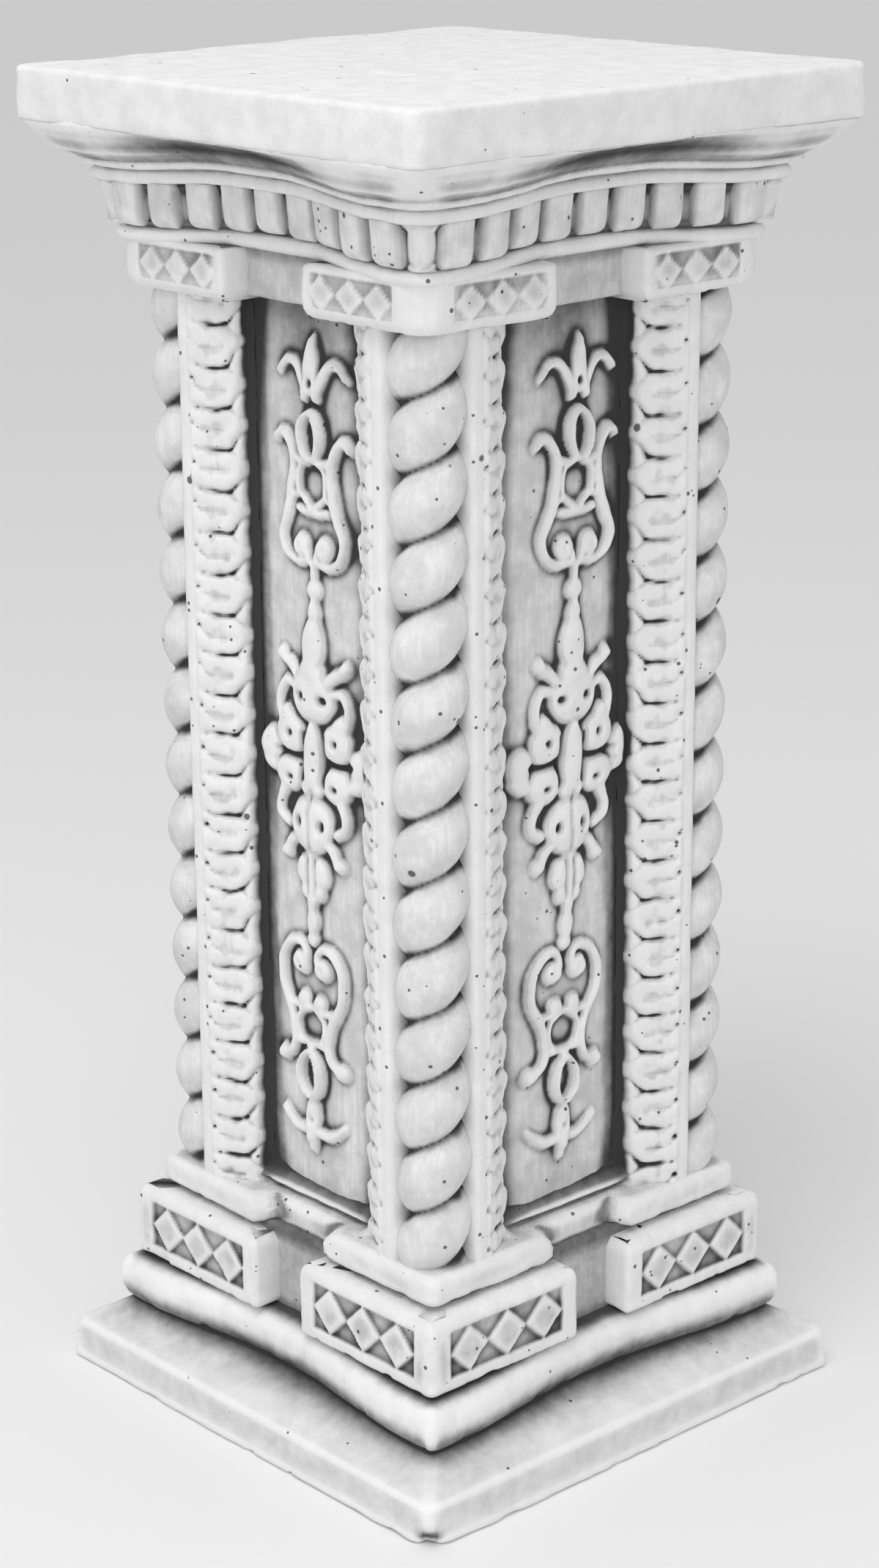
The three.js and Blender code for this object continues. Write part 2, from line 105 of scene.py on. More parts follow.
def noise(places, size, seed):
    """Smooth noise from -1 to 1 with lumps of about the given size in millimetres."""
    p = np.asarray(places, float) / size
    cell = np.floor(p).astype(np.int64)
    t = p - cell
    t = t * t * (3 - 2 * t)
    total = 0
    for dx in (0, 1):
        for dy in (0, 1):
            for dz in (0, 1):
                weight = (
                    (t[..., 0] if dx else 1 - t[..., 0])
                    * (t[..., 1] if dy else 1 - t[..., 1])
                    * (t[..., 2] if dz else 1 - t[..., 2])
                )
                corner = (cell[..., 0] + dx, cell[..., 1] + dy, cell[..., 2] + dz)
                total = total + weight * lattice(*corner, seed)
    return total


def step(low, high, x):
    """A soft step from 0 at low to 1 at high."""
    t = np.clip((x - low) / (high - low), 0, 1)
    return t * t * (3 - 2 * t)


# Skins: grids of points (row, column, xyz) that close on themselves


def blur(grid, rows, columns):
    """The grid averaged over that many rows and columns each way, twice, so that it falls off softly."""
    for _ in range(2):
        if columns:
            grid = sum(np.roll(grid, k, axis=1) for k in range(-columns, columns + 1)) / (2 * columns + 1)
        if rows:
            high = np.concatenate([grid[:1].repeat(rows, 0), grid, grid[-1:].repeat(rows, 0)])
            grid = sum(high[k:k + grid.shape[0]] for k in range(2 * rows + 1)) / (2 * rows + 1)
    return grid


def outward(grid):
    """The unit normal at each point of a grid whose rows rise and whose columns run anticlockwise."""
    along = np.roll(grid, -1, 1) - np.roll(grid, 1, 1)
    up = np.gradient(grid, axis=0)
    normal = np.cross(along, up)
    return normal / np.maximum(np.linalg.norm(normal, axis=-1, keepdims=True), 1e-9)


def hollow_of(grid, reach):
    """How far each point lies below its surroundings in millimetres: above zero in hollows, below on edges."""
    across = np.median(np.linalg.norm(np.roll(grid, -1, 1) - grid, axis=-1))
    rise = np.median(np.linalg.norm(grid[1:] - grid[:-1], axis=-1))
    rows = int(np.clip(round(reach / max(rise, 0.1)), 1, 24))
    columns = int(np.clip(round(reach / max(across, 0.1)), 1, 24))
    return ((blur(grid, rows, columns) - grid) * outward(grid)).sum(-1)


def weather(grid, seed, wobble, rough, chips):
    """A cast surface after years outside: slow wobble, fine roughness and edges that lost small chips."""
    normal = outward(grid)
    edge = np.clip(-hollow_of(grid, 2.5) / 0.5, 0, 1)
    lost = chips * edge * step(0.25, 0.7, noise(grid, 9, seed + 3))
    move = wobble * noise(grid, 55, seed) + 0.5 * wobble * noise(grid, 17, seed + 1)
    move = move + rough * noise(grid, 4.5, seed + 2) - lost
    return grid + normal * move[..., None]


def skin(name, grid, hollow, grime_and_shade, stone, hubs=None):
    """A closed mesh from a grid, with a fan over each end, and its hollow and its dirt and painted shade masks
    kept for the finish.
    """
    rows, columns = grid.shape[:2]
    low, high = hubs if hubs is not None else (grid[0].mean(0), grid[-1].mean(0))
    points = np.concatenate([grid.reshape(-1, 3), [low, high]]) * MM
    i = np.arange(rows - 1)[:, None] * columns
    j = np.arange(columns)[None, :]
    k = (j + 1) % columns
    quads = np.stack([i + j, i + k, i + k + columns, i + j + columns], -1).reshape(-1, 4)
    ring = np.arange(columns)
    following = (ring + 1) % columns
    bottom = np.stack([following, ring, np.full(columns, rows * columns)], -1)
    last = (rows - 1) * columns
    top = np.stack([last + ring, last + following, np.full(columns, rows * columns + 1)], -1)
    ends = np.concatenate([bottom, top])
    mesh = bpy.data.meshes.new(name)
    mesh.vertices.add(len(points))
    mesh.vertices.foreach_set("co", points.ravel())
    mesh.loops.add(quads.size + ends.size)
    mesh.loops.foreach_set("vertex_index", np.concatenate([quads.ravel(), ends.ravel()]))
    mesh.polygons.add(len(quads) + len(ends))
    starts = np.concatenate([np.arange(len(quads)) * 4, quads.size + np.arange(len(ends)) * 3])
    mesh.polygons.foreach_set("loop_start", starts)
    mesh.update(calc_edges=True)
    mesh.polygons.foreach_set("use_smooth", np.ones(len(mesh.polygons), bool))
    # Both masks darken the finish: with dirt, and with painted shade in hollows, under overhangs and between
    # parts.
    for label, value in (("hollow", hollow), ("grime_and_shade", grime_and_shade)):
        values = np.zeros(len(points), np.float32)
        values[:-2] = np.broadcast_to(value, (rows, columns)).ravel()
        mesh.attributes.new(label, "FLOAT", "POINT").data.foreach_set("value", values)
    piece = bpy.data.objects.new(name, mesh)
    bpy.context.collection.objects.link(piece)
    mesh.materials.append(stone)
    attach(piece, "root")
    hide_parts("column")
    return piece


def join(name, pieces):
    """Several skins made into one piece."""
    with bpy.context.temp_override(active_object=pieces[0], selected_editable_objects=pieces):
        bpy.ops.object.join()
    pieces[0].name = name
    pieces[0].data.name = name
    return pieces[0]


def turned(grid, face):
    """A grid in a face's own (u, n, z) laid on that face of the column: 0 front, 1 right, 2 back, 3 left."""
    turn = face * math.pi / 2
    u, n, z = grid[..., 0], grid[..., 1], grid[..., 2]
    x = u * math.cos(turn) + n * math.sin(turn)
    y = u * math.sin(turn) - n * math.cos(turn)
    return np.stack([x, y, z], -1)


def dome(x, power=2.6):
    """The rounded section of a cast form: 1 over its middle, 0 from x = 1 outward."""
    return np.sqrt(np.clip(1 - np.clip(x, 0, 1) ** power, 0, 1))


def curve(points, steps=6):
    """A smooth line through the points."""
    p = np.array(points, float)
    p = np.vstack([2 * p[0] - p[1], p, 2 * p[-1] - p[-2]])
    t = np.linspace(0, 1, steps, endpoint=False)[:, None]
    parts = []
    for a, b, c, d in zip(p, p[1:], p[2:], p[3:]):
        bend, twist = 2 * a - 5 * b + 4 * c - d, 3 * b - a - 3 * c + d
        parts.append(0.5 * (2 * b + (c - a) * t + bend * t ** 2 + twist * t ** 3))
    return np.vstack(parts + [p[-2][None]])


# Carving: heights over a grid of places on a face


class Carving:
    """Heights over a grid of places (u, z), raised and sunk by rounded forms.

    A pair is made on both sides of u = 0.
    """

    def __init__(self, u, z, ground):
        self.u = u
        self.z = z
        self.height = ground.copy()

    def rows(self, low, high):
        """The rows of the grid that lie between two heights."""
        middle = self.z.mean(1)
        return slice(np.searchsorted(middle, low - 4), np.searchsorted(middle, high + 4))

    def near(self, line, rows):
        """Distance from a line of (u, z, half width) points, in half widths."""
        u, z = self.u[rows], self.z[rows]
        best = np.full(u.shape, 9.0)
        for (u0, z0, r0), (u1, z1, r1) in zip(line, line[1:]):
            du, dz = u1 - u0, z1 - z0
            t = np.clip(((u - u0) * du + (z - z0) * dz) / (du * du + dz * dz + 1e-9), 0, 1)
            best = np.minimum(best, np.hypot(u - u0 - t * du, z - z0 - t * dz) / (r0 + (r1 - r0) * t))
        return best

    def ridge(self, points, height, pair=False, steps=6):
        """A rounded cord of stone along (u, z, half width) points."""
        line = curve(points, steps)
        rows = self.rows((line[:, 1] - line[:, 2]).min(), (line[:, 1] + line[:, 2]).max())
        for side in (1, -1) if pair else (1,):
            form = height * dome(self.near(line * (side, 1, 1), rows))
            self.height[rows] = np.maximum(self.height[rows], form)

    def boss(self, place, size, height, tilt=0.0, pair=False):
        """A rounded lump of half width and half height size, tilted in degrees."""
        rows = self.rows(place[1] - max(size), place[1] + max(size))
        for side in (1, -1) if pair else (1,):
            form = height * dome(self.reach(place, size, tilt, side, rows), 3.4)
            self.height[rows] = np.maximum(self.height[rows], form)

    def pit(self, place, size, depth, pair=False):
        """A drilled pit of a depth in millimetres."""
        rows = self.rows(place[1] - max(size), place[1] + max(size))
        for side in (1, -1) if pair else (1,):
            self.height[rows] -= depth * (1 - step(0.45, 1.1, self.reach(place, size, 0, side, rows)))

    def reach(self, place, size, tilt, side, rows):
        """Distance from a lump's middle in its own half widths."""
        c, s = math.cos(math.radians(tilt * side)), math.sin(math.radians(tilt * side))
        du, dz = self.u[rows] - side * place[0], self.z[rows] - place[1]
        return np.hypot((c * du + s * dz) / size[0], (c * dz - s * du) / size[1])

    def groove(self, points, depth, width, pair=False):
        """A soft cut along (u, z) points."""
        line = curve([(u, z, width) for u, z in points], 5)
        rows = self.rows(line[:, 1].min() - 2 * width, line[:, 1].max() + 2 * width)
        for side in (1, -1) if pair else (1,):
            self.height[rows] -= depth * np.exp(-self.near(line * (side, 1, 1), rows) ** 2)

    def mound(self, place, size, height):
        """A broad low swelling of the ground."""
        x = self.reach(place, size, 0, 1, slice(None))
        self.height = np.maximum(self.height, height * (1 - step(0.3, 1.2, x)))

    def loop(self, middle, size, half_width, height):
        """A closed oval cord."""
        turns = np.linspace(0, 2 * math.pi, 15)
        oval = np.stack([np.cos(turns) * size[0], np.sin(turns) * size[1], 0 * turns], 1)
        self.ridge(oval + (middle[0], middle[1], half_width), height, steps=3)


def upper_lyre(carving):
    """The open lyre near the cap, with its oval loop and the leaf finial on top."""
    arm = [(31, 599, 2.1), (28, 603, 3), (22, 602, 3.3), (17, 594, 3.5), (15.5, 584, 3.8), (17, 574, 4.3)]
    arm += [(19, 564, 4.4), (23, 555, 4), (26.5, 547, 3.5), (25.5, 540, 3.2), (21, 533.5, 3), (13, 530.5, 2.8)]
    carving.ridge(arm + [(5, 531.5, 2.7)], 7.8, pair=True)
    carving.ridge([(4, 588, 2.3), (10, 585, 2.3), (11.7, 577, 2), (10.8, 570, 2)], 7.5, pair=True)
    carving.ridge([(20, 564, 2.1), (11, 569, 2), (5, 565, 2), (0, 562, 2.2)], 7.5, pair=True)
    carving.ridge([(13, 561, 2.2), (7, 560, 2.6), (0, 559.5, 2)], 7.5, pair=True)
    carving.boss((9.5, 540), (7.7, 7.9), 8.6, pair=True)
    carving.ridge([(2.5, 531, 2.7), (4, 537, 2.9)], 7.8, pair=True)
    carving.pit((10.5, 540.5), (2.2, 2.2), 1.8, pair=True)
    carving.ridge([(15, 590, 3.3), (8, 589, 2.7), (0, 590, 2.7)], 8.6, pair=True)
    carving.mound((0, 602), (14, 21), 3)
    carving.loop((0, 604), (7.8, 13.6), 2.3, 11.5)
    leaf = [(4.5, 627, 3.7), (7, 634, 4.3), (11, 641, 3.7), (17, 644.5, 3.1), (23, 643, 2.7), (28.5, 637, 1.9)]
    carving.ridge(leaf, 7.2, pair=True)
    carving.ridge([(0, 631, 6), (0, 640, 7.3), (0.3, 648, 5.9), (0.6, 653.5, 3.5), (1, 658.5, 1.5)], 8.6)
    carving.ridge([(4, 631, 3.7), (5, 625, 2.7)], 9, pair=True)
    carving.pit((0, 633.5), (2.6, 3.4), 3.6)


def stem(carving):
    """The stem between the upper lyre and the bowl: a stalk, a bead, a bell and a vase."""
    carving.ridge([(0, 531, 2.8), (0, 522, 2.5)], 7.2)
    carving.boss((0, 515.5), (6.9, 6.7), 7.2)
    carving.ridge([(0, 511, 2.7), (0, 507, 3.3)], 6.8)
    carving.ridge([(0, 506, 4.3), (0, 501, 6.3), (0, 496, 6.7)], 7.8)
    carving.groove([(-5, 499.5), (0, 498.6), (6, 499.2)], 1.8, 1.1)
    carving.ridge([(0, 493, 7.5), (0, 487, 9.9), (0, 480, 10.3), (0, 473, 8.2)], 8.6)


def bowl(carving):
    """The round bowl with its pits, and the horns and curls at its sides."""
    carving.boss((0, 454), (19.3, 19.8), 9.4)
    carving.ridge([(0, 471, 8.7), (0, 465, 13.2)], 9)
    carving.pit((9.3, 452.5), (4.6, 3.6), 4.8, pair=True)
    carving.ridge([(13, 464, 4.6), (19, 469, 4.2), (24, 471, 3.6)], 7.2, pair=True)
    carving.boss((26.5, 474), (4.9, 4.4), 7.4, tilt=30, pair=True)
    curl = [(16, 458, 3.3), (24, 458.5, 3.1), (29, 451.5, 2.8), (29, 443, 3), (26, 436, 3.3)]
    carving.ridge(curl, 7.2, pair=True)


def leaves(carving):
    """The wide spread of leaves below the bowl."""
    carving.boss((38.5, 417.5), (9.3, 11.8), 6.8, tilt=10, pair=True)
    carving.boss((37, 407), (10.3, 6.3), 6.2, tilt=20, pair=True)
    carving.boss((19.5, 428), (13.9, 13.9), 8.3, tilt=-25, pair=True)
    carving.ridge([(20, 436, 7.7), (23.5, 442, 3.7)], 7.5, pair=True)
    carving.boss((20.5, 403), (14.3, 11.9), 8.3, tilt=14, pair=True)
    carving.ridge([(23, 396, 5.7), (27, 391, 3.7)], 7.2, pair=True)
    carving.groove([(9, 417), (20, 415.5), (33, 416.5)], 4, 1.3, pair=True)
    carving.pit((19.5, 428.5), (3.2, 3), 4, pair=True)
    carving.pit((19.5, 401.5), (4.4, 2.1), 4, pair=True)
    carving.ridge([(0, 435, 4.1), (0, 427, 7.9), (0, 414, 8.9), (0, 403, 8.3)], 9.4)
    carving.boss((4.6, 398.5), (6.1, 6.1), 8.6, pair=True)
    carving.boss((0, 396), (5.5, 5.3), 8.3)
    carving.groove([(9.7, 430), (10.2, 416), (9.4, 402)], 4, 1.1, pair=True)


def round_leaf(carving):
    """The round leaf with two drilled pits and a crease down its middle, and the curls beside it."""
    carving.boss((0, 377), (19.1, 20.7), 9.8)
    carving.groove([(0.5, 396), (-1, 385), (0, 372), (0, 358)], 1.8, 1.2)
    carving.pit((9.3, 377), (3.3, 4.2), 5.6, pair=True)
    carving.ridge([(23, 394, 3.8), (28.5, 386, 3.6), (28, 378, 3.4), (21, 373.5, 3.6)], 7.2, pair=True)
    carving.ridge([(12, 367, 4.3), (18, 363, 4.1), (21, 358, 3.6)], 7, pair=True)
    carving.boss((23, 355.5), (5.4, 4.6), 7.4, tilt=-20, pair=True)


def pendant(carving):
    """The hanging leaves and the husk down to the lower lyre."""
    carving.ridge([(0, 357, 7.2), (0, 348, 8.7), (0, 338, 7.7), (0, 330, 5.3), (0, 325, 3.5)], 7.8)
    carving.boss((6.6, 348), (7.9, 11.3), 8.3, tilt=10, pair=True)
    carving.boss((5.2, 335.5), (5.5, 6.9), 7.5, pair=True)
    carving.groove([(2.8, 356), (3.4, 346), (2.4, 333)], 2.2, 1.1, pair=True)
    carving.ridge([(0, 323, 3.7), (0, 317.5, 5.9), (0, 313, 4.7), (0, 310, 2.5)], 7.5)
    carving.boss((0, 305.5), (5.5, 5.5), 6.8)


def lower_lyre(carving):
    """The lyre near the base, hung upside down, with its loop and the leaf finial at the foot."""
    arm = [(4.5, 293, 2.5), (6, 299, 2.6), (12, 301.5, 2.9), (20, 298.5, 3.2), (25.3, 291, 3.5)]
    arm += [(26.5, 281, 3.6), (25.3, 272, 3.7), (21, 263.5, 3.9), (17, 255, 3.7), (15, 246, 3.7)]
    arm += [(14.5, 239, 3.7), (18, 231.5, 3.5), (25, 228, 3.5)]
    carving.ridge(arm, 7.8, pair=True)
    carving.boss((9.6, 289), (7.5, 7.9), 8.6, pair=True)
    carving.boss((7, 266.5), (6.1, 6.1), 7.8, pair=True)
    carving.pit((9.8, 289), (2.2, 2.2), 1.8, pair=True)
    band = [(0, 263, 2), (6, 260, 2), (11.4, 255, 2), (11.2, 247, 2), (7, 240.5, 2.3), (0, 239, 2.7)]
    carving.ridge(band, 7.5, pair=True)
    carving.ridge([(8, 261, 2.3), (20, 262, 2.5)], 7.5, pair=True)
    carving.ridge([(7, 239.5, 2.9), (14, 240, 3.7)], 7.8, pair=True)
    carving.boss((26, 227.5), (6.3, 5.5), 7.5, tilt=-15, pair=True)
    carving.mound((0, 220), (14, 21), 3)
    carving.loop((0, 221), (8.3, 13.6), 2.3, 11.5)
    carving.ridge([(0, 237, 2.3), (4, 232.5, 2.3)], 9, pair=True)
    carving.ridge([(5, 184, 4.3), (13, 183.5, 3.7), (20, 187, 3), (27, 193, 2)], 7.2, pair=True)
    carving.ridge([(0, 201, 5.7), (0, 194, 6.9), (0, 186, 6.7), (0, 180, 5.1)], 8.6)
    carving.ridge([(0, 177, 4.7), (0, 172.5, 2.9)], 6.8)
    carving.pit((0.5, 192), (3, 2.8), 2.8)


def panel_relief(u, z, face):
    """Height of the cast ornament over a face's panel."""
    place = np.stack([u, z, np.full_like(u, face * 90.0)], -1)
    shaken_u = u - np.interp(z, *LEAN) - SHIFT[face] + 0.9 * noise(place, 23, 11) + 0.35 * noise(place, 8, 12)
    shaken_z = z + 0.9 * noise(place, 26, 13) + 0.35 * noise(place, 8, 14)
    swell = 5.2 * (1 - np.clip(np.abs(u) / 48, 0, 1) ** 3.5)
    carving = Carving(shaken_u, shaken_z, swell - 2.5 + 0.4 * noise(place, 30, 15))
    for form in (upper_lyre, stem, bowl, leaves, round_leaf, pendant, lower_lyre):
        form(carving)
    height = carving.height + 2.5
    height[1:-1, 1:-1] = (
        4 * height[1:-1, 1:-1]
        + 2 * (height[:-2, 1:-1] + height[2:, 1:-1] + height[1:-1, :-2] + height[1:-1, 2:])
        + height[:-2, :-2] + height[:-2, 2:] + height[2:, :-2] + height[2:, 2:]
    ) / 16
    return height


def leaf_relief(a, z, face):
    """Height of the overlapping leaves at a, the distance across the band from the panel, and their level."""
    place = np.stack([a, z, np.full_like(a, face * 140.0)], -1)
    pitch = LEAF["pitch"]
    across = a + 1.2 * noise(place, 14, 21) + 0.7 * noise(place, 6, 23)
    shaken = z - LEAF["notch"][face] + 1.5 * noise(place, 17, 22) + 0.8 * noise(place, 7, 24)
    level = (shaken + 9) % pitch - 9

    def crease(width, points):
        line = curve(points, 5)
        near = np.full(a.shape, 1e3)
        for shift in (-pitch, 0, pitch):
            for (u0, z0), (u1, z1) in zip(line, line[1:]):
                du, dz = u1 - u0, z1 - z0
                right, above = across - u0, level + shift - z0
                t = np.clip((right * du + above * dz) / (du * du + dz * dz + 1e-9), 0, 1)
                near = np.minimum(near, np.hypot(right - t * du, above - t * dz))
        return np.exp(-(near / width) ** 2), np.exp(-near / 3.2)

    notch, notch_side = crease(1.35, [(7, 0.4), (12, 0), (17, 0.1), (24, 0.6), (29, 1.1)])
    upper, upper_side = crease(1.4, [(7.5, 0.4), (3.5, 4), (0.5, 8), (-3, 11)])
    lower, lower_side = crease(1.4, [(8, -0.4), (4, -3), (0, -5.6)])
    fold, fold_side = crease(1.0, [(9, -12.7), (15, -12.2), (20, -12.2), (25, -11.3), (29.5, -8.6)])
    deep = 1 - step(13, 24, across)
    pillow = np.maximum(np.maximum(notch_side, upper_side), np.maximum(0.6 * lower_side, 0.8 * fold_side))
    height = LEAF["height"] - 1.3 * pillow - (0.2 + 2.0 * deep) * notch - 1.1 * upper - 0.6 * lower
    height = height - (0.15 + 0.8 * step(17, 27, across)) * fold
    inner = 8 - across
    ground = step(-1.5, 1, level + 0.75 * inner) * step(-1.5, 1, 1.15 * inner - level)
    ground = ground * (1 - step(5, 8, across))
    gap = np.exp(-((across - 30) / 2.6) ** 2 - ((level + 8.6) / 3.2) ** 2)
    dot = np.exp(-((across - 25.6) ** 2 + (level - 0.8) ** 2) / 2.2)
    return height - 1.5 * ground - 4 * gap - 1.3 * dot + 0.5 * noise(place, 4.5, 25), level


def half_profile():
    """Points (u, n) over half of a face, from the panel's middle out to behind the rope."""
    across = np.concatenate([np.arange(0, 36, 1.0), np.arange(36.5, PANEL["half"], 1.5)])
    points = [(u, PANEL["n"]) for u in across]
    corners = [(PANEL["half"], PANEL["n"]), BAND["inner"], BAND["outer"]]
    corners += [FILLET["outer"], FILLET["back"], FILLET["root"]]
    for start, end, count in zip(corners, corners[1:], (5, 29, 5, 3, 2)):
        start, end = np.array(start, float), np.array(end, float)
        points += [tuple(start + (end - start) * i / count) for i in range(count)]
    return np.array(points + [corners[-1]])


def shaft_face(face):
    """One face of the shaft: the sunk panel with its ornament, the two leaf bands and their plain fillets."""
    half = half_profile()
    profile = np.concatenate([half[:0:-1] * [-1, 1], half])
    soft = profile.copy()
    for _ in range(2):
        soft[1:-1] = (soft[:-2] + 2 * soft[1:-1] + soft[2:]) / 4
    tangent = np.gradient(soft, axis=0)
    normal = np.stack([-tangent[:, 1], tangent[:, 0]], -1)
    normal /= np.linalg.norm(normal, axis=1, keepdims=True)
    z = np.arange(SHAFT["bottom"], SHAFT["top"] + 0.1, SHAFT_ROWS)
    u2, z2 = np.meshgrid(soft[:, 0], z)
    n2 = np.broadcast_to(soft[:, 1], u2.shape).copy()
    raised = np.zeros_like(u2)
    on_panel = np.abs(profile[:, 0]) < PANEL["half"] + 0.5
    raised[:, on_panel] = panel_relief(u2[:, on_panel], z2[:, on_panel], face)
    slope = np.array(BAND["outer"], float) - BAND["inner"]
    slope /= np.linalg.norm(slope)
    sideways = np.zeros_like(u2)
    reach = (np.abs(profile[:, 0]) - BAND["inner"][0]) / slope[0]
    for side in (-1, 1):
        wide = np.nonzero((np.sign(profile[:, 0]) == side) & (reach > -1.5) & (reach < 32.6))[0]
        a = np.broadcast_to(reach[wide], (len(z), len(wide)))
        zz = np.broadcast_to(z[:, None], a.shape)
        leaf, level = leaf_relief(a, zz, face)
        edge = step(-1.5, 2.5, a) * (1 - step(29.5, 31, a))
        raised[:, wide] = (leaf - 1.2) * edge
        scallop = 0.5 + 0.5 * np.cos((level - 13) / LEAF["pitch"] * 2 * math.pi)
        sideways[:, wide] = -side * LEAF["scallop"] * (scallop - 0.45) * np.exp(-((a - 0.5) / 4.5) ** 2)
    u3 = u2 + normal[:, 0] * raised + sideways * slope[0]
    grid = np.stack([u3, n2 + normal[:, 1] * raised, z2], -1)
    hub = np.zeros((len(z), 1, 3))
    hub[:, 0, 2] = z
    spine = np.concatenate([grid, hub], 1)
    surface = turned(spine, face)
    shell = surface[:, :-1]
    mirrored = np.concatenate([shell, shell[:, ::-1]], 1)
    fine = hollow_of(mirrored, 3)[:, :shell.shape[1]]
    wide_hollow = hollow_of(mirrored, 11)[:, :shell.shape[1]]
    normals = outward(mirrored)[:, :shell.shape[1]]
    move = 0.4 * noise(shell, 50, 31) + 0.22 * noise(shell, 12, 32) + 0.14 * noise(shell, 4, 33)
    shell = shell + normals * move[..., None]
    surface = np.concatenate([shell, surface[:, -1:]], 1)
    hollow = np.zeros(surface.shape[:2])
    # Dirt and painted shade in the relief's hollows and round its foot.
    hollow[:, :-1] = 1.25 * fine + 0.42 * wide_hollow
    # Painted shade: darker toward the cap, at the panel's foot, in strips beside the panel's walls and behind
    # the fillets next to the ropes.
    under_cap = step(560, 690, z2)
    at_foot = 1 - step(145, 185, z2)
    grime_and_shade = np.zeros(surface.shape[:2])
    grime_and_shade[:, :-1] = 0.9 * under_cap * (np.abs(u2) < 52) + 0.4 * step(650, 684, z2) + 0.6 * at_foot
    beside = step(38, 50, np.abs(soft[:, 0])) * (1 - step(52, 53, np.abs(soft[:, 0])))
    grime_and_shade[:, :-1] += 0.3 * beside + 1.3 * (soft[:, 1] < 116) * (np.abs(soft[:, 0]) > 84)
    hubs = (np.array([0, 0, z[0]]), np.array([0, 0, z[-1]]))
    return skin(f"shaft_{NAMES[face]}", surface, hollow, grime_and_shade, carved_stone, hubs)


def rope(corner):
    """The twisted rope on a corner: round lobes with deep grooves darkened by dirt and painted shade."""
    z = np.arange(ROPE["first"], ROPE["last"] + 0.1, ROPE_ROWS)
    turn_out = -math.pi / 4 + corner * math.pi / 2
    spread = np.linspace(-1, 1, 49)[:-1]
    angle = turn_out + math.pi * (0.62 * spread + 0.38 * spread ** 3)
    angle2, z2 = np.meshgrid(angle, z)
    place = np.stack([20 * np.cos(angle2), 20 * np.sin(angle2), z2 + corner * 900], -1)
    local = angle2 - turn_out
    phase = (z2 - ROPE["bottom"]) / ROPE["pitch"] - (local + math.pi * 0.5) / (2 * math.pi)
    phase = phase + 0.02 * noise(place, 60, 41) + 0.012 * noise(place, 14, 42)
    t = phase % 1
    lobe = np.maximum(np.cos(math.pi / 2 * (2 * t - 1)), 0) ** 0.75
    radius = ROPE["groove"] + (ROPE["radius"] - ROPE["groove"]) * lobe
    radius = radius + 0.35 * noise(place, 22, 43) + 0.15 * noise(place, 6, 44)
    cx = ROPE["axis"] * math.sqrt(2) * math.cos(turn_out)
    cy = ROPE["axis"] * math.sqrt(2) * math.sin(turn_out)
    grid = np.stack([cx + radius * np.cos(angle2), cy + radius * np.sin(angle2), z2], -1)
    from_groove = np.minimum(t, 1 - t) * ROPE["pitch"]
    ragged = from_groove + 1.3 * noise(place, 7, 45)
    # Painted shade in the grooves, stronger toward the rope's sides, and over its inner side and its top under
    # the cap.
    side = 0.5 + 0.5 * step(0.12, 0.46, np.abs(local) / math.pi)
    hollow = 2.6 * side * (1 - step(0.3, 3.5 + 5 * side, ragged)) - 0.25 + 0.4 * hollow_of(grid, 3)
    inner = step(0.44, 0.6, np.abs(local) / math.pi)
    grime_and_shade = 1.1 * inner + 0.6 * step(662, 684, z2)
    return skin(f"rope_{corner}", grid, hollow, grime_and_shade, carved_stone)


def square_plan(half, z, corner, dip, side_points, arc, flat=20, out=84):
    """Rings of a square plan with round corners; dip draws the middle of each side in."""
    columns = (np.asarray(v, float)[:, None] for v in (half, z, corner, dip))
    half, z, corner, dip = np.broadcast_arrays(*columns)
    reach = half - corner
    parts = []
    for face in range(FACES):
        t = np.linspace(-1, 1, side_points)[None, :]
        u = reach * t
        n = half - dip * (1 - step(flat, out, np.abs(u)))
        parts.append(turned(np.stack([u, n, z + 0 * u], -1), face))
        a = np.linspace(0, math.pi / 2, arc + 1)[None, 1:-1]
        u = reach + corner * np.sin(a)
        n = reach + corner * np.cos(a)
        parts.append(turned(np.stack([u, n, z + 0 * a], -1), face))
    return np.concatenate(parts, 1)


def along(profile, spacing):
    """Points spaced evenly along a profile of (half, z, ...) corners, with the corners kept."""
    rows = []
    for start, end in zip(profile, profile[1:]):
        start, end = np.array(start, float), np.array(end, float)
        count = max(1, int(round(np.hypot(*(end - start)[:2]) / spacing)))
        rows += [start + (end - start) * i / count for i in range(count)]
    return np.array(rows + [np.array(profile[-1], float)])


def round_off(middle, radius, start, end, steps):
    """Points (half, z) on an arc round a middle, in degrees from outward, anticlockwise up."""
    return [
        (middle[0] + radius * math.cos(math.radians(a)), middle[1] + radius * math.sin(math.radians(a)))
        for a in np.linspace(start, end, steps)
    ]


def on_nearest_face(grid):
    """Each point's n and its u without a sign, on the face that it lies nearest to."""
    x, y = np.abs(grid[..., 0]), np.abs(grid[..., 1])
    return np.maximum(x, y), np.minimum(x, y)


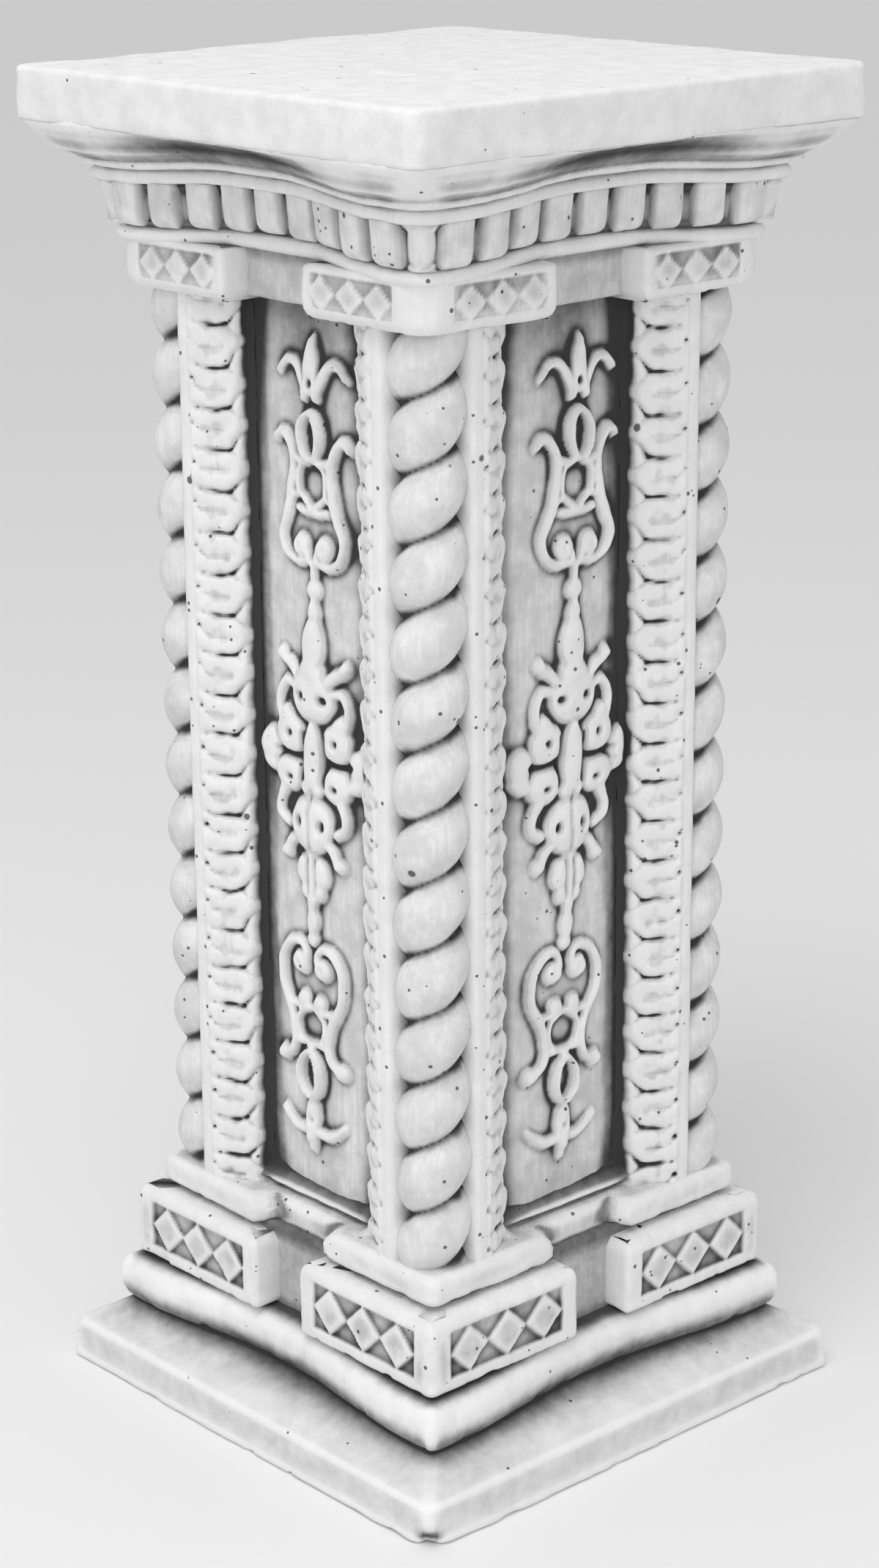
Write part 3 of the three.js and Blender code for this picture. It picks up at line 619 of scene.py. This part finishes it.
def top_slab():
    """The plain square slab on top, with its softly worn edges."""
    ease = SLAB["ease"]
    half, low, top = SLAB_HALF - WEAR, SLAB["bottom"], HEIGHT - WEAR
    edge = [(half - 40, low)]
    edge += round_off((half - ease, low + ease), ease, -90, 0, 5)
    edge += round_off((half - ease, top - ease), ease, 0, 90, 6)
    side = along(edge, 3.2)
    inward = [(h, top) for h in np.linspace(half - 8, 4, 34)]
    rows = np.concatenate([[(4, low), (60, low), (100, low)], side, inward])
    corner = np.clip(rows[:, 0] - (half - SLAB["corner"]), 1.5, SLAB["corner"])
    corner = np.where(rows[:, 0] < half - 12, rows[:, 0] * 0.1, corner)
    grid = square_plan(rows[:, 0], rows[:, 1], corner, 0 * corner, side_points=64, arc=7)
    hollow = 0.9 * hollow_of(grid, 5)
    grid = weather(grid, 51, wobble=0.75, rough=0.2, chips=0.8)
    grid[..., 2] = np.minimum(grid[..., 2], HEIGHT)
    grid[..., :2] = np.clip(grid[..., :2], -SLAB_HALF, SLAB_HALF)
    # Painted shade on the slab's underside.
    grime_and_shade = 0.9 * (grid[..., 2] < low + 1.5)
    return skin("top_slab", grid, hollow, grime_and_shade, plain_stone)


def cap_moulding():
    """The waved mouldings under the slab: a string, the dentil ground, a roundel, a fillet and a hollow.

    Each corner of the profile is (half, z, share of the wave); the wave dies out under the straight slab.
    """
    ground = DENTIL["ground"]
    profile = [(118, 699, 1), (127, 701.5, 1)]
    profile += [(h, z, 1) for h, z in round_off((131, 706.8), 3.7, -60, 75, 6)]
    profile += [(ground, 711.5, 1), (ground - 1, 715, 1), (ground + 1, 731, 1), (ground + 4, 736, 1)]
    profile += [(141, 736.6, 1)]
    profile += [(h, z, 1) for h, z in round_off((141, 740.3), 3.6, -80, 70, 6)]
    profile += [(142.3, 744.4, 1), (146.5, 745.3, 1), (149.2, 747, 1), (149.4, 749.4, 1)]
    profile += [(151, 750.5, 1.04), (158, 754, 1.17), (161.5, 758, 1.05), (165, 762, 0.8), (168, 767, 0.33)]
    profile += [(169, 769, 0.05), (169, 771.5, 0), (120, 772, 0)]
    rows = along(profile, 2.4)
    recess = CAP_WAVE["recess"] * rows[:, 2]
    corner = CAP_WAVE["corner"] - 6 * step(750, 770, rows[:, 1])
    grid = square_plan(rows[:, 0], rows[:, 1], corner, recess, 58, 6, CAP_WAVE["flat"], CAP_WAVE["out"])
    height = grid[..., 2].copy()
    far, near = on_nearest_face(grid)
    block = DENTIL["stand"] * step(DENTIL["corner"] - 1.5, DENTIL["corner"] + 1.5, near)
    block = block * step(710.5, 712.5, height) * (1 - step(735.5, 737, height))
    grid[..., :2] *= (1 + block / far)[..., None]
    grid[..., 2] += wave_lift(near) * np.clip(rows[:, 2], 0, 1)[:, None]
    hollow = 1.1 * hollow_of(grid, 3.5) + 0.35 * hollow_of(grid, 10)
    # Painted shade in the hollow under the slab and on the dentil ground between the dentils.
    grime_and_shade = 1.08 * step(746, 754, height) * (1 - 0.3 * step(764, 769, height))
    between = step(709, 712, height) * (1 - step(733, 737, height)) * (1 - block / DENTIL["stand"])
    grime_and_shade = grime_and_shade + 0.55 * between
    grid = weather(grid, 61, wobble=0.5, rough=0.2, chips=0.6)
    return skin("cap_moulding", grid, hollow, grime_and_shade, carved_stone)


def wave_n(half, u):
    """How far out the waved side stands at u."""
    return half - CAP_WAVE["recess"] * (1 - step(CAP_WAVE["flat"], CAP_WAVE["out"], abs(u)))


def wave_lift(u):
    """How much higher the waved mouldings run at u than at the corners."""
    return CAP_WAVE["lift"] * (1 - step(CAP_WAVE["flat"], CAP_WAVE["out"], abs(u)))


def dentils(face):
    """A row of dentils, each square to the wave that it stands on, with rounded worn ends."""
    made = []
    for i in range(DENTIL["count"]):
        u = (i - (DENTIL["count"] - 1) / 2) * DENTIL["pitch"]
        seed = face * 20 + i
        lean = math.atan((wave_n(DENTIL["ground"], u + 1) - wave_n(DENTIL["ground"], u - 1)) / 2)
        wide = DENTIL["width"] / 2 * (1 + 0.07 * lattice(seed, 1, 0, 5))
        deep = DENTIL["stand"] + 1.2 * lattice(seed, 2, 0, 5)
        low = DENTIL["bottom"] + 0.8 * lattice(seed, 3, 0, 5)
        bend = low + 7 * (1 - np.cos(np.linspace(0, math.pi / 2, 6)))
        z = np.concatenate([bend, np.linspace(low + 10, DENTIL["top"], 7)])
        rise = np.clip((z - low) / 7, 0, 1)
        swell = np.sqrt(np.clip(1 - (1 - rise) ** 2.4, 0.02, 1))
        a = np.linspace(0, 2 * math.pi, 29)[:-1] - math.pi / 2
        c, s = np.cos(a), np.sin(a)
        across = np.sign(c) * np.abs(c) ** 0.6
        out = np.sign(s) * np.abs(s) ** 0.6
        x = (wide * (0.72 + 0.28 * swell))[:, None] * across[None]
        y = (deep * swell + 0.12 * (z - low))[:, None] * (out[None] * 0.5 + 0.5)
        y = np.where(out[None] < 0, -4.0, y)
        middle_n = wave_n(DENTIL["ground"], u)
        grid = np.stack([
            u + x * math.cos(lean) - y * math.sin(lean),
            middle_n + x * math.sin(lean) + y * math.cos(lean),
            z[:, None] + wave_lift(u) + 0 * x,
        ], -1)[:, ::-1]
        grid = turned(grid, face)
        place = noise(grid, 6, 71)
        # Painted shade where each dentil meets the ground behind it; lighter over its front.
        hollow = -0.45 + 1.2 * (1 - step(-1, 2.8, y[:, ::-1])) + 0.3 * place
        grid = grid + outward(grid) * (0.35 * noise(grid, 9, 72) + 0.2 * place)[..., None]
        made.append(skin(f"dentil_{seed}", grid, hollow, 0, carved_stone))
    return join(f"dentils_{NAMES[face]}", made)


def lozenges(u, z, low, high, first, last, count, depth):
    """Depth of a row of flat lozenges left standing between sunk triangles."""
    pitch = (last - first) / count
    middle = (low + high) / 2
    tall = (high - low) / 2
    t = (u - first) / pitch
    inside = step(-0.03, 0.02, t) * (1 - step(count - 0.02, count + 0.03, t))
    fold = np.abs((t % 1) - 0.5) * 2
    height = np.abs(z - middle) / tall
    in_field = inside * (1 - step(0.97, 1.04, height))
    sunk = step(0.90, 1.08, fold + height) * in_field
    return -depth * sunk


def corner_block(name, corner, size, pattern, seed, stone, face_points=76, row_gap=1.5):
    """A square block wrapped round a corner of the column, with a pattern cut into its two outer faces."""
    half, gap, radius = size["half"], size["gap"], size["corner"]
    low, high = size["bottom"], size["top"]
    ease_low, ease_high = size["ease_bottom"], size["ease_top"]
    rows = round_off((-ease_low, low + ease_low), ease_low, -90, 0, 5)
    rows += round_off((-ease_high, high - ease_high), ease_high, 0, 90, 6)
    rows = along(rows, row_gap)
    rows = np.concatenate([[(rows[0, 0] - 14, rows[0, 1])], rows, [(rows[-1, 0] - 10, rows[-1, 1])]])
    end, back = 4.0, half - 34
    inset = -rows[:, 0][:, None]
    z = rows[:, 1][:, None]
    straight = np.linspace(gap + end, half - radius, face_points)
    # Each point of the outline is (u, n, direction outward in u, in n), from the first face round to the second
    outline = [(u, half, 0.0, 1.0) for u in straight]
    for a in np.linspace(0, math.pi / 2, 9)[1:-1]:
        c, s = math.cos(a), math.sin(a)
        outline.append((half - radius + radius * s, half - radius + radius * c, s, c))
    outline += [(half, u, 1.0, 0.0) for u in straight[::-1]]
    for a in (0.5, 1.0, 1.45):
        c, s = math.cos(a), math.sin(a)
        outline.append((half - end + end * c, gap + end - end * s, c, -s))
    outline += [(half - 12, gap, 0.0, -1.0), (back, gap, 0.0, -1.0), (back - 8, back - 8, 0.0, 0.0)]
    outline += [(gap, back, -1.0, 0.0), (gap, half - 12, -1.0, 0.0)]
    for a in (0.1, 0.55, 1.05):
        c, s = math.cos(a), math.sin(a)
        outline.append((gap + end - end * c, half - end + end * s, -c, s))
    outline = np.array(outline)
    u, n, du, dn = (outline[:, k][None, :] for k in range(4))
    on_face = (du == 1.0) | (dn == 1.0)
    on_corner = (du > 0) & (dn > 0) & ~on_face
    inset = np.minimum(inset, np.where(on_face, 40, np.where(on_corner, radius, end)))
    x = u - inset * du
    y = n - inset * dn
    cut = pattern(u, z) * (dn == 1.0) + pattern(n, z) * (du == 1.0)
    x = x + du * cut
    y = y + dn * cut
    spun = turned(np.stack([x, y, z + 0 * x], -1), corner)
    # Dirt and painted shade in the sunk triangles of the pattern; the dirt mask is an uneven darkening all
    # over.
    hollow = (1.3 * hollow_of(spun, 3) + 0.3 * hollow_of(spun, 8)) * (1 - step(5, 9, inset))
    spun = weather(spun, seed, wobble=0.5, rough=0.2, chips=0.9)
    return skin(f"{name}_{corner}", spun, hollow, 0.5 + 0.3 * noise(spun, 18, seed + 4), stone)


def base_pattern(u, z):
    """Three lozenges between sunk triangles on a base block."""
    return lozenges(u, z, 81, 110, 33, 121, 3, 1.9)


def cap_pattern(u, z):
    """Worn lozenges on a cap block."""
    return lozenges(u, z, 682, 701.5, 39, 108, 3, 0.9)


def foot():
    """The foot: a thick square slab, its worn sloping top and the waved roll above it."""
    half, top, ease = FOOT["half"] - WEAR, FOOT["top"], FOOT["ease"]
    roll_low, roll_high = TORUS["bottom"], TORUS["top"]
    profile = [(half - 60, 0), (half - 2, 0), (half, 2)]
    profile += round_off((half - 1.5 - ease, top + 1 - ease), ease, 0, 62, 6)
    profile += [(half - 17, top + 7.5), (TORUS["half"] - 5, roll_low - 1)]
    middle, tall = (roll_low + roll_high) / 2, (roll_high - roll_low) / 2
    deep = TORUS["half"] - TORUS["waist"]
    for a in np.linspace(-1.45, 1.45, 11):
        profile.append((TORUS["waist"] + deep * math.cos(a) ** 0.7, middle + tall * math.sin(a)))
    profile += [(TORUS["waist"] - 4, roll_high + 1), (116, roll_high + 3), (60, roll_high + 3)]
    rows = along(profile, 2.8)
    dip = TORUS["dip"] * step(top + 2, roll_low + 2, rows[:, 1])
    corner = FOOT["corner"] - 3 * step(60, 74, rows[:, 1])
    grid = square_plan(rows[:, 0], rows[:, 1], corner, dip, 84, 6, 8, 120)
    hollow = 1.1 * hollow_of(grid, 4) + 0.35 * hollow_of(grid, 11)
    grid = weather(grid, 81, wobble=0.9, rough=0.25, chips=1.4)
    chip = np.linalg.norm(grid - np.array([FOOT["half"] - 4, 4 - FOOT["half"], 3]), axis=-1)
    lost = np.exp(-(chip / 7) ** 2)
    grid[..., 0] -= 7 * lost
    grid[..., 1] += 7 * lost
    grid[..., :2] = np.clip(grid[..., :2], -SLAB_HALF, SLAB_HALF)
    grid[..., 2] = np.maximum(grid[..., 2], 0)
    height = grid[..., 2]
    # Painted shade on the slope beside the roll and over the roll's top; darker over the roll, in the chip and
    # evenly all over.
    beside = step(roll_low - 9, roll_low + 1, height) * (1 - step(roll_low + 5, roll_low + 16, height))
    grime_and_shade = 1.2 * lost + 0.85 * beside + 0.9 * step(roll_high - 6, roll_high + 1, height)
    grime_and_shade = grime_and_shade + 0.5 * step(roll_low, roll_low + 4, height) + 0.55
    return skin("foot", grid, hollow + 2.5 * lost, grime_and_shade, plain_stone)


def base_neck():
    """The plain wall that shows between the base blocks."""
    low, high, half = BASE_NECK["bottom"], BASE_NECK["top"], BASE_NECK["half"]
    rows = along([(60, low), (half, low), (half, high), (60, high)], 4)
    grid = square_plan(rows[:, 0], rows[:, 1], 6 + 0 * rows[:, 0], 0 * rows[:, 0], 50, 3)
    # Painted shade over this wall set back between the blocks, darkest at its foot and under the ledge.
    hollow = 0.8 + 0.6 * (1 - step(72, 80, grid[..., 2])) + 0.8 * step(112, 119, grid[..., 2])
    grid = weather(grid, 91, wobble=1.2, rough=0.4, chips=0)
    return skin("base_neck", grid, hollow, 0.1, carved_stone)


def ledge():
    """The ledge on the base blocks: four corner parts with slanting ends and the strips set back between."""
    low, high, half, middle = LEDGE["bottom"], LEDGE["top"], LEDGE["half"], LEDGE["middle"]
    profile = [(60, low - 2), (half - 8, low - 1.5), (half - 2, low + 1)]
    profile += round_off((half - 4, low + 5), 4.2, -30, 20, 3)
    profile += round_off((half - 5, high - 4.5), 5, 10, 80, 5)
    profile += [(half - 13, high + 1), (105, high + 6), (98, high + 12), (93, high + 19)]
    profile += [(88, 164), (60, 166)]
    rows = along(profile, 2.4)
    grid = square_plan(rows[:, 0], rows[:, 1], 7 + 0 * rows[:, 0], 0 * rows[:, 0], 88, 5)
    z = grid[..., 2]
    n, u = on_nearest_face(grid)
    slant = LEDGE["gap"] + 1.1 * (half - n) - 4 * (1 - np.clip(np.abs(z - (low + high) / 2) / 8, 0, 1))
    recess = (half - middle) * (1 - step(slant - 3, slant + 3, u)) * step(60, 100, n)
    recess = recess * (1 - step(high, high + 6, z))
    scale = (n - recess) / np.maximum(n, 1)
    on_x = np.abs(grid[..., 0]) >= np.abs(grid[..., 1])
    grid[..., 0] *= np.where(on_x, scale, 1)
    grid[..., 1] *= np.where(on_x, 1, scale)
    hollow = np.minimum(1.1 * hollow_of(grid, 3.5) + 0.35 * hollow_of(grid, 10), 0.9)
    # Painted shade on the slope up to the panel and on the middle strips set back between the corner parts.
    grime_and_shade = 0.95 * step(138, 146, z) + 0.5 * (1 - step(slant - 6, slant + 2, u)) * step(60, 100, n)
    grid = weather(grid, 95, wobble=0.7, rough=0.3, chips=0.9)
    return skin("ledge", grid, hollow, grime_and_shade, carved_stone)


def cap_neck():
    """The plain wall that shows between the cap blocks."""
    low, high, half = CAP_NECK["bottom"], CAP_NECK["top"], CAP_NECK["half"]
    profile = [(60, low), (half - 4, low)] + round_off((half - 4, low + 4), 4, -80, 0, 4)
    profile += [(half, high), (60, high)]
    rows = along(profile, 4)
    grid = square_plan(rows[:, 0], rows[:, 1], 8 + 0 * rows[:, 0], 0 * rows[:, 0], 50, 3)
    # Painted shade over this wall set back between the cap blocks, darkest at its top under the moulding.
    hollow = 0.5 + 0.8 * step(698, 706, grid[..., 2])
    grid = weather(grid, 97, wobble=0.8, rough=0.3, chips=0.4)
    return skin("cap_neck", grid, hollow, 0.15, carved_stone)


# Finishes


def group(name, inputs, outputs):
    """An empty shader node group with named inputs, each with its usual value, and named outputs."""
    made = bpy.data.node_groups.new(name, "ShaderNodeTree")
    for label, value in inputs.items():
        socket = made.interface.new_socket(label, in_out="INPUT", socket_type="NodeSocketFloat")
        socket.default_value = value
    for label in outputs:
        made.interface.new_socket(label, in_out="OUTPUT", socket_type="NodeSocketFloat")
    return made, made.nodes.new("NodeGroupInput"), made.nodes.new("NodeGroupOutput")


def math_node(tree, operation, *values, clamp=False):
    """A maths node; each value is a number or another node's output."""
    node = tree.nodes.new("ShaderNodeMath")
    node.operation = operation
    node.use_clamp = clamp
    for k, value in enumerate(values):
        if isinstance(value, (int, float)):
            node.inputs[k].default_value = value
        else:
            tree.links.new(value, node.inputs[k])
    return node.outputs[0]


def weighted(tree, *parts):
    """The sum of node outputs, each times its weight."""
    total = 0.0
    for output, weight in parts:
        total = math_node(tree, "ADD", total, math_node(tree, "MULTIPLY", output, weight))
    return total


def mix_colour(tree, factor, first, second):
    """A colour mix; each colour is a tuple or another node's output."""
    node = tree.nodes.new("ShaderNodeMix")
    node.data_type = "RGBA"
    for socket, value in ((node.inputs[0], factor), (node.inputs[6], first), (node.inputs[7], second)):
        if isinstance(value, (int, float, tuple)):
            socket.default_value = value
        else:
            tree.links.new(value, socket)
    return node.outputs[2]


def spread(tree, value, low, high):
    """The value stretched so that low becomes 0 and high becomes 1."""
    node = tree.nodes.new("ShaderNodeMapRange")
    node.interpolation_type = "SMOOTHSTEP"
    node.inputs["From Min"].default_value = low
    node.inputs["From Max"].default_value = high
    tree.links.new(value, node.inputs["Value"])
    return node.outputs[0]


def stretched_noise(tree, scale, stretch, detail=3.0, roughness=0.55):
    """Noise over the stone in object space, stretched by a factor for x, y and z."""
    where = tree.nodes.new("ShaderNodeTexCoord")
    mapping = tree.nodes.new("ShaderNodeMapping")
    mapping.inputs["Scale"].default_value = stretch
    tree.links.new(where.outputs["Object"], mapping.inputs["Vector"])
    node = tree.nodes.new("ShaderNodeTexNoise")
    node.inputs["Scale"].default_value = scale
    node.inputs["Detail"].default_value = detail
    node.inputs["Roughness"].default_value = roughness
    tree.links.new(mapping.outputs[0], node.inputs["Vector"])
    return node.outputs["Fac"]


def dirt_and_shade_group():
    """Darkening from dirt and painted shade in hollows and where the dirt and shade mask is high, and lighter
    raised edges, with an uneven border.
    """
    tree, start, end = group("hollow dirt and shade", {"Hollow": 0.0, "Grime and shade": 0.0, "Spread": 1.0}, ("Dirt and shade", "Raised edge"))
    patchy = stretched_noise(tree, 130, (1, 1, 1), 4)
    broad = stretched_noise(tree, 28, (1, 1, 0.6), 3)
    uneven = weighted(tree, (patchy, 1.1), (broad, 0.9))
    uneven = math_node(tree, "SUBTRACT", uneven, 1.0)
    depth = math_node(tree, "MULTIPLY", start.outputs["Hollow"], start.outputs["Spread"])
    # Painted shade and dirt: darker with the hollow depth and with the dirt and shade mask.
    darkening = weighted(tree, (depth, 1.0), (start.outputs["Grime and shade"], 1.2), (uneven, 0.55))
    tree.links.new(spread(tree, darkening, 0.15, 2.1), end.inputs["Dirt and shade"])
    high = weighted(tree, (start.outputs["Hollow"], -1.0), (uneven, 0.3))
    tree.links.new(spread(tree, high, 0.1, 0.9), end.inputs["Raised edge"])
    return tree


def pore_group():
    """Air holes of the casting: sparse small pits, with painted shade inside."""
    tree, start, end = group("air holes", {"Scale": 100.0, "Share": 0.1, "Size": 0.2}, ("Pit",))
    where = tree.nodes.new("ShaderNodeTexCoord")
    cells = tree.nodes.new("ShaderNodeTexVoronoi")
    tree.links.new(where.outputs["Object"], cells.inputs["Vector"])
    tree.links.new(start.outputs["Scale"], cells.inputs["Scale"])
    apart = tree.nodes.new("ShaderNodeSeparateColor")
    tree.links.new(cells.outputs["Color"], apart.inputs[0])
    chosen = math_node(tree, "LESS_THAN", apart.outputs[0], start.outputs["Share"])
    wide = math_node(tree, "MULTIPLY", start.outputs["Size"], math_node(tree, "ADD", apart.outputs[1], 0.35))
    inside = math_node(tree, "SUBTRACT", wide, cells.outputs["Distance"])
    pit = math_node(tree, "MULTIPLY", inside, 18.0, clamp=True)
    tree.links.new(math_node(tree, "MULTIPLY", pit, chosen), end.inputs["Pit"])
    return tree


def place_group(tree, made, **values):
    """A node group placed in a material with its own values."""
    node = tree.nodes.new("ShaderNodeGroup")
    node.node_tree = made
    for label, value in values.items():
        node.inputs[label].default_value = value
    return node


def grey(value):
    """A neutral colour."""
    return (value, value, value, 1)


def stone(name, pale, ground, dirt_and_shade_colour, streaks, pore_share, dirt_and_shade_spread):
    """Weathered grey cast stone, darkened by dirt and painted shade in its hollows, under overhangs and between
    parts.
    """
    made = bpy.data.materials.new(name)
    made.use_nodes = True
    tree = made.node_tree
    shader = tree.nodes["Principled BSDF"]
    shader.inputs["Roughness"].default_value = 0.88
    shader.inputs["Specular IOR Level"].default_value = 0.25
    hollow = tree.nodes.new("ShaderNodeAttribute")
    hollow.attribute_name = "hollow"
    grime_and_shade = tree.nodes.new("ShaderNodeAttribute")
    grime_and_shade.attribute_name = "grime_and_shade"
    dirt_and_shade_node = place_group(tree, hollow_dirt_and_shade, Spread=dirt_and_shade_spread)
    tree.links.new(hollow.outputs["Fac"], dirt_and_shade_node.inputs["Hollow"])
    tree.links.new(grime_and_shade.outputs["Fac"], dirt_and_shade_node.inputs["Grime and shade"])
    mottle = stretched_noise(tree, 60, (1, 1, 1), 6, 0.62)
    brush = stretched_noise(tree, 420, (1, 1, 0.055), 3)
    colour = mix_colour(tree, spread(tree, mottle, 0.3, 0.7), ground, pale)
    shade = math_node(tree, "MULTIPLY", spread(tree, brush, 0.62, 0.38), streaks)
    colour = mix_colour(tree, shade, colour, ground)
    raised_edge = math_node(tree, "MULTIPLY", dirt_and_shade_node.outputs["Raised edge"], 0.65)
    colour = mix_colour(tree, raised_edge, colour, tuple(min(1, c * 1.12) for c in pale[:3]) + (1,))
    # Dark dirt and painted shade laid over the colour by the hollow and dirt and shade masks.
    colour = mix_colour(tree, dirt_and_shade_node.outputs["Dirt and shade"], colour, dirt_and_shade_colour)
    big = place_group(tree, air_holes, Scale=75.0, Share=pore_share * 0.35, Size=0.16)
    small = place_group(tree, air_holes, Scale=190.0, Share=pore_share, Size=0.2)
    pits = math_node(tree, "MAXIMUM", big.outputs[0], small.outputs[0])
    # The pits are painted near black: painted shade inside the air holes.
    colour = mix_colour(tree, math_node(tree, "MULTIPLY", pits, 0.85), colour, grey(0.035))
    tree.links.new(colour, shader.inputs["Base Color"])
    grain = stretched_noise(tree, 900, (1, 1, 1), 3, 0.6)
    lumps = stretched_noise(tree, 190, (1, 1, 1), 4, 0.6)
    relief = weighted(tree, (grain, 0.25), (lumps, 0.6), (brush, 0.35 * streaks), (pits, -0.9))
    bump = tree.nodes.new("ShaderNodeBump")
    bump.inputs["Strength"].default_value = 0.55
    bump.inputs["Distance"].default_value = 0.0012
    tree.links.new(relief, bump.inputs["Height"])
    tree.links.new(bump.outputs[0], shader.inputs["Normal"])
    return made


hollow_dirt_and_shade = dirt_and_shade_group()
air_holes = pore_group()
carved_stone = stone(
    "carved cast stone", pale=grey(0.78), ground=grey(0.56), dirt_and_shade_colour=grey(0.045),
    streaks=0.45, pore_share=0.1, dirt_and_shade_spread=0.9,
)
plain_stone = stone(
    "plain cast stone", pale=grey(0.82), ground=grey(0.72), dirt_and_shade_colour=grey(0.06),
    streaks=0.12, pore_share=0.03, dirt_and_shade_spread=0.6,
)

foot()
base_neck()
ledge()
for number in range(FACES):
    corner_block("base_block", number, BASE_BLOCK, base_pattern, 101 + number * 5, carved_stone)
for number in range(FACES):
    shaft_face(number)
    rope(number)
cap_neck()
for number in range(FACES):
    corner_block("cap_block", number, CAP_BLOCK, cap_pattern, 131 + number * 5, carved_stone, 46, 1.8)
cap_moulding()
for number in range(FACES):
    dentils(number)
top_slab()


# Floor, light and camera


def floor():
    """A wide plain pale floor."""
    half = 40.0
    mesh = bpy.data.meshes.new("floor")
    corners = [(-half, -half, 0), (half, -half, 0), (half, half, 0), (-half, half, 0)]
    mesh.from_pydata(corners, [], [(0, 1, 2, 3)])
    made = bpy.data.objects.new("floor", mesh)
    bpy.context.collection.objects.link(made)
    pale = bpy.data.materials.new("pale floor")
    pale.use_nodes = True
    pale.node_tree.nodes["Principled BSDF"].inputs["Base Color"].default_value = grey(0.86)
    pale.node_tree.nodes["Principled BSDF"].inputs["Roughness"].default_value = 0.9
    mesh.materials.append(pale)


def soft_light(name, place, target, size, power):
    """A square soft light that faces a point; places in metres."""
    data = bpy.data.lights.new(name, "AREA")
    data.size = size
    data.energy = power
    made = bpy.data.objects.new(name, data)
    bpy.context.collection.objects.link(made)
    made.location = place
    made.rotation_euler = (Vector(target) - Vector(place)).to_track_quat("-Z", "Y").to_euler()


def sky(strength):
    """Even pale light from all round."""
    world = bpy.data.worlds.new("sky")
    world.use_nodes = True
    world.node_tree.nodes["Background"].inputs["Color"].default_value = (1, 1, 1, 1)
    world.node_tree.nodes["Background"].inputs["Strength"].default_value = strength
    bpy.context.scene.world = world


# The photograph's view: angles in degrees, place in metres, lens in millimetres
VIEW = {
    "azimuth": 48.041, "elevation": 17.480, "roll": -0.498, "place": (1.4208, -1.2810, 0.9810), "lens": 77.53,
}


def camera():
    """The camera at the photograph's angle."""
    az, el, roll = (math.radians(VIEW[k]) for k in ("azimuth", "elevation", "roll"))
    back = Vector((math.sin(az) * math.cos(el), -math.cos(az) * math.cos(el), math.sin(el)))
    level = (-back).cross(Vector((0, 0, 1))).normalized()
    above = level.cross(-back)
    right = level * math.cos(roll) + above * math.sin(roll)
    up = above * math.cos(roll) - level * math.sin(roll)
    data = bpy.data.cameras.new("camera")
    data.lens = VIEW["lens"]
    data.sensor_width = 36
    data.sensor_fit = "AUTO"
    made = bpy.data.objects.new("camera", data)
    bpy.context.collection.objects.link(made)
    facing = Matrix((right, up, back)).transposed().to_4x4()
    made.matrix_world = Matrix.Translation(Vector(VIEW["place"])) @ facing
    bpy.context.scene.camera = made


floor()
sky(0.68)
soft_light("high light", (0.5, -1.2, 2.9), (0, 0, 0.5), 1.4, 30)
soft_light("front light", (1.9, -2.0, 1.3), (0, 0, 0.45), 2.2, 14)
camera()
bpy.context.scene.view_settings.view_transform = "Standard"
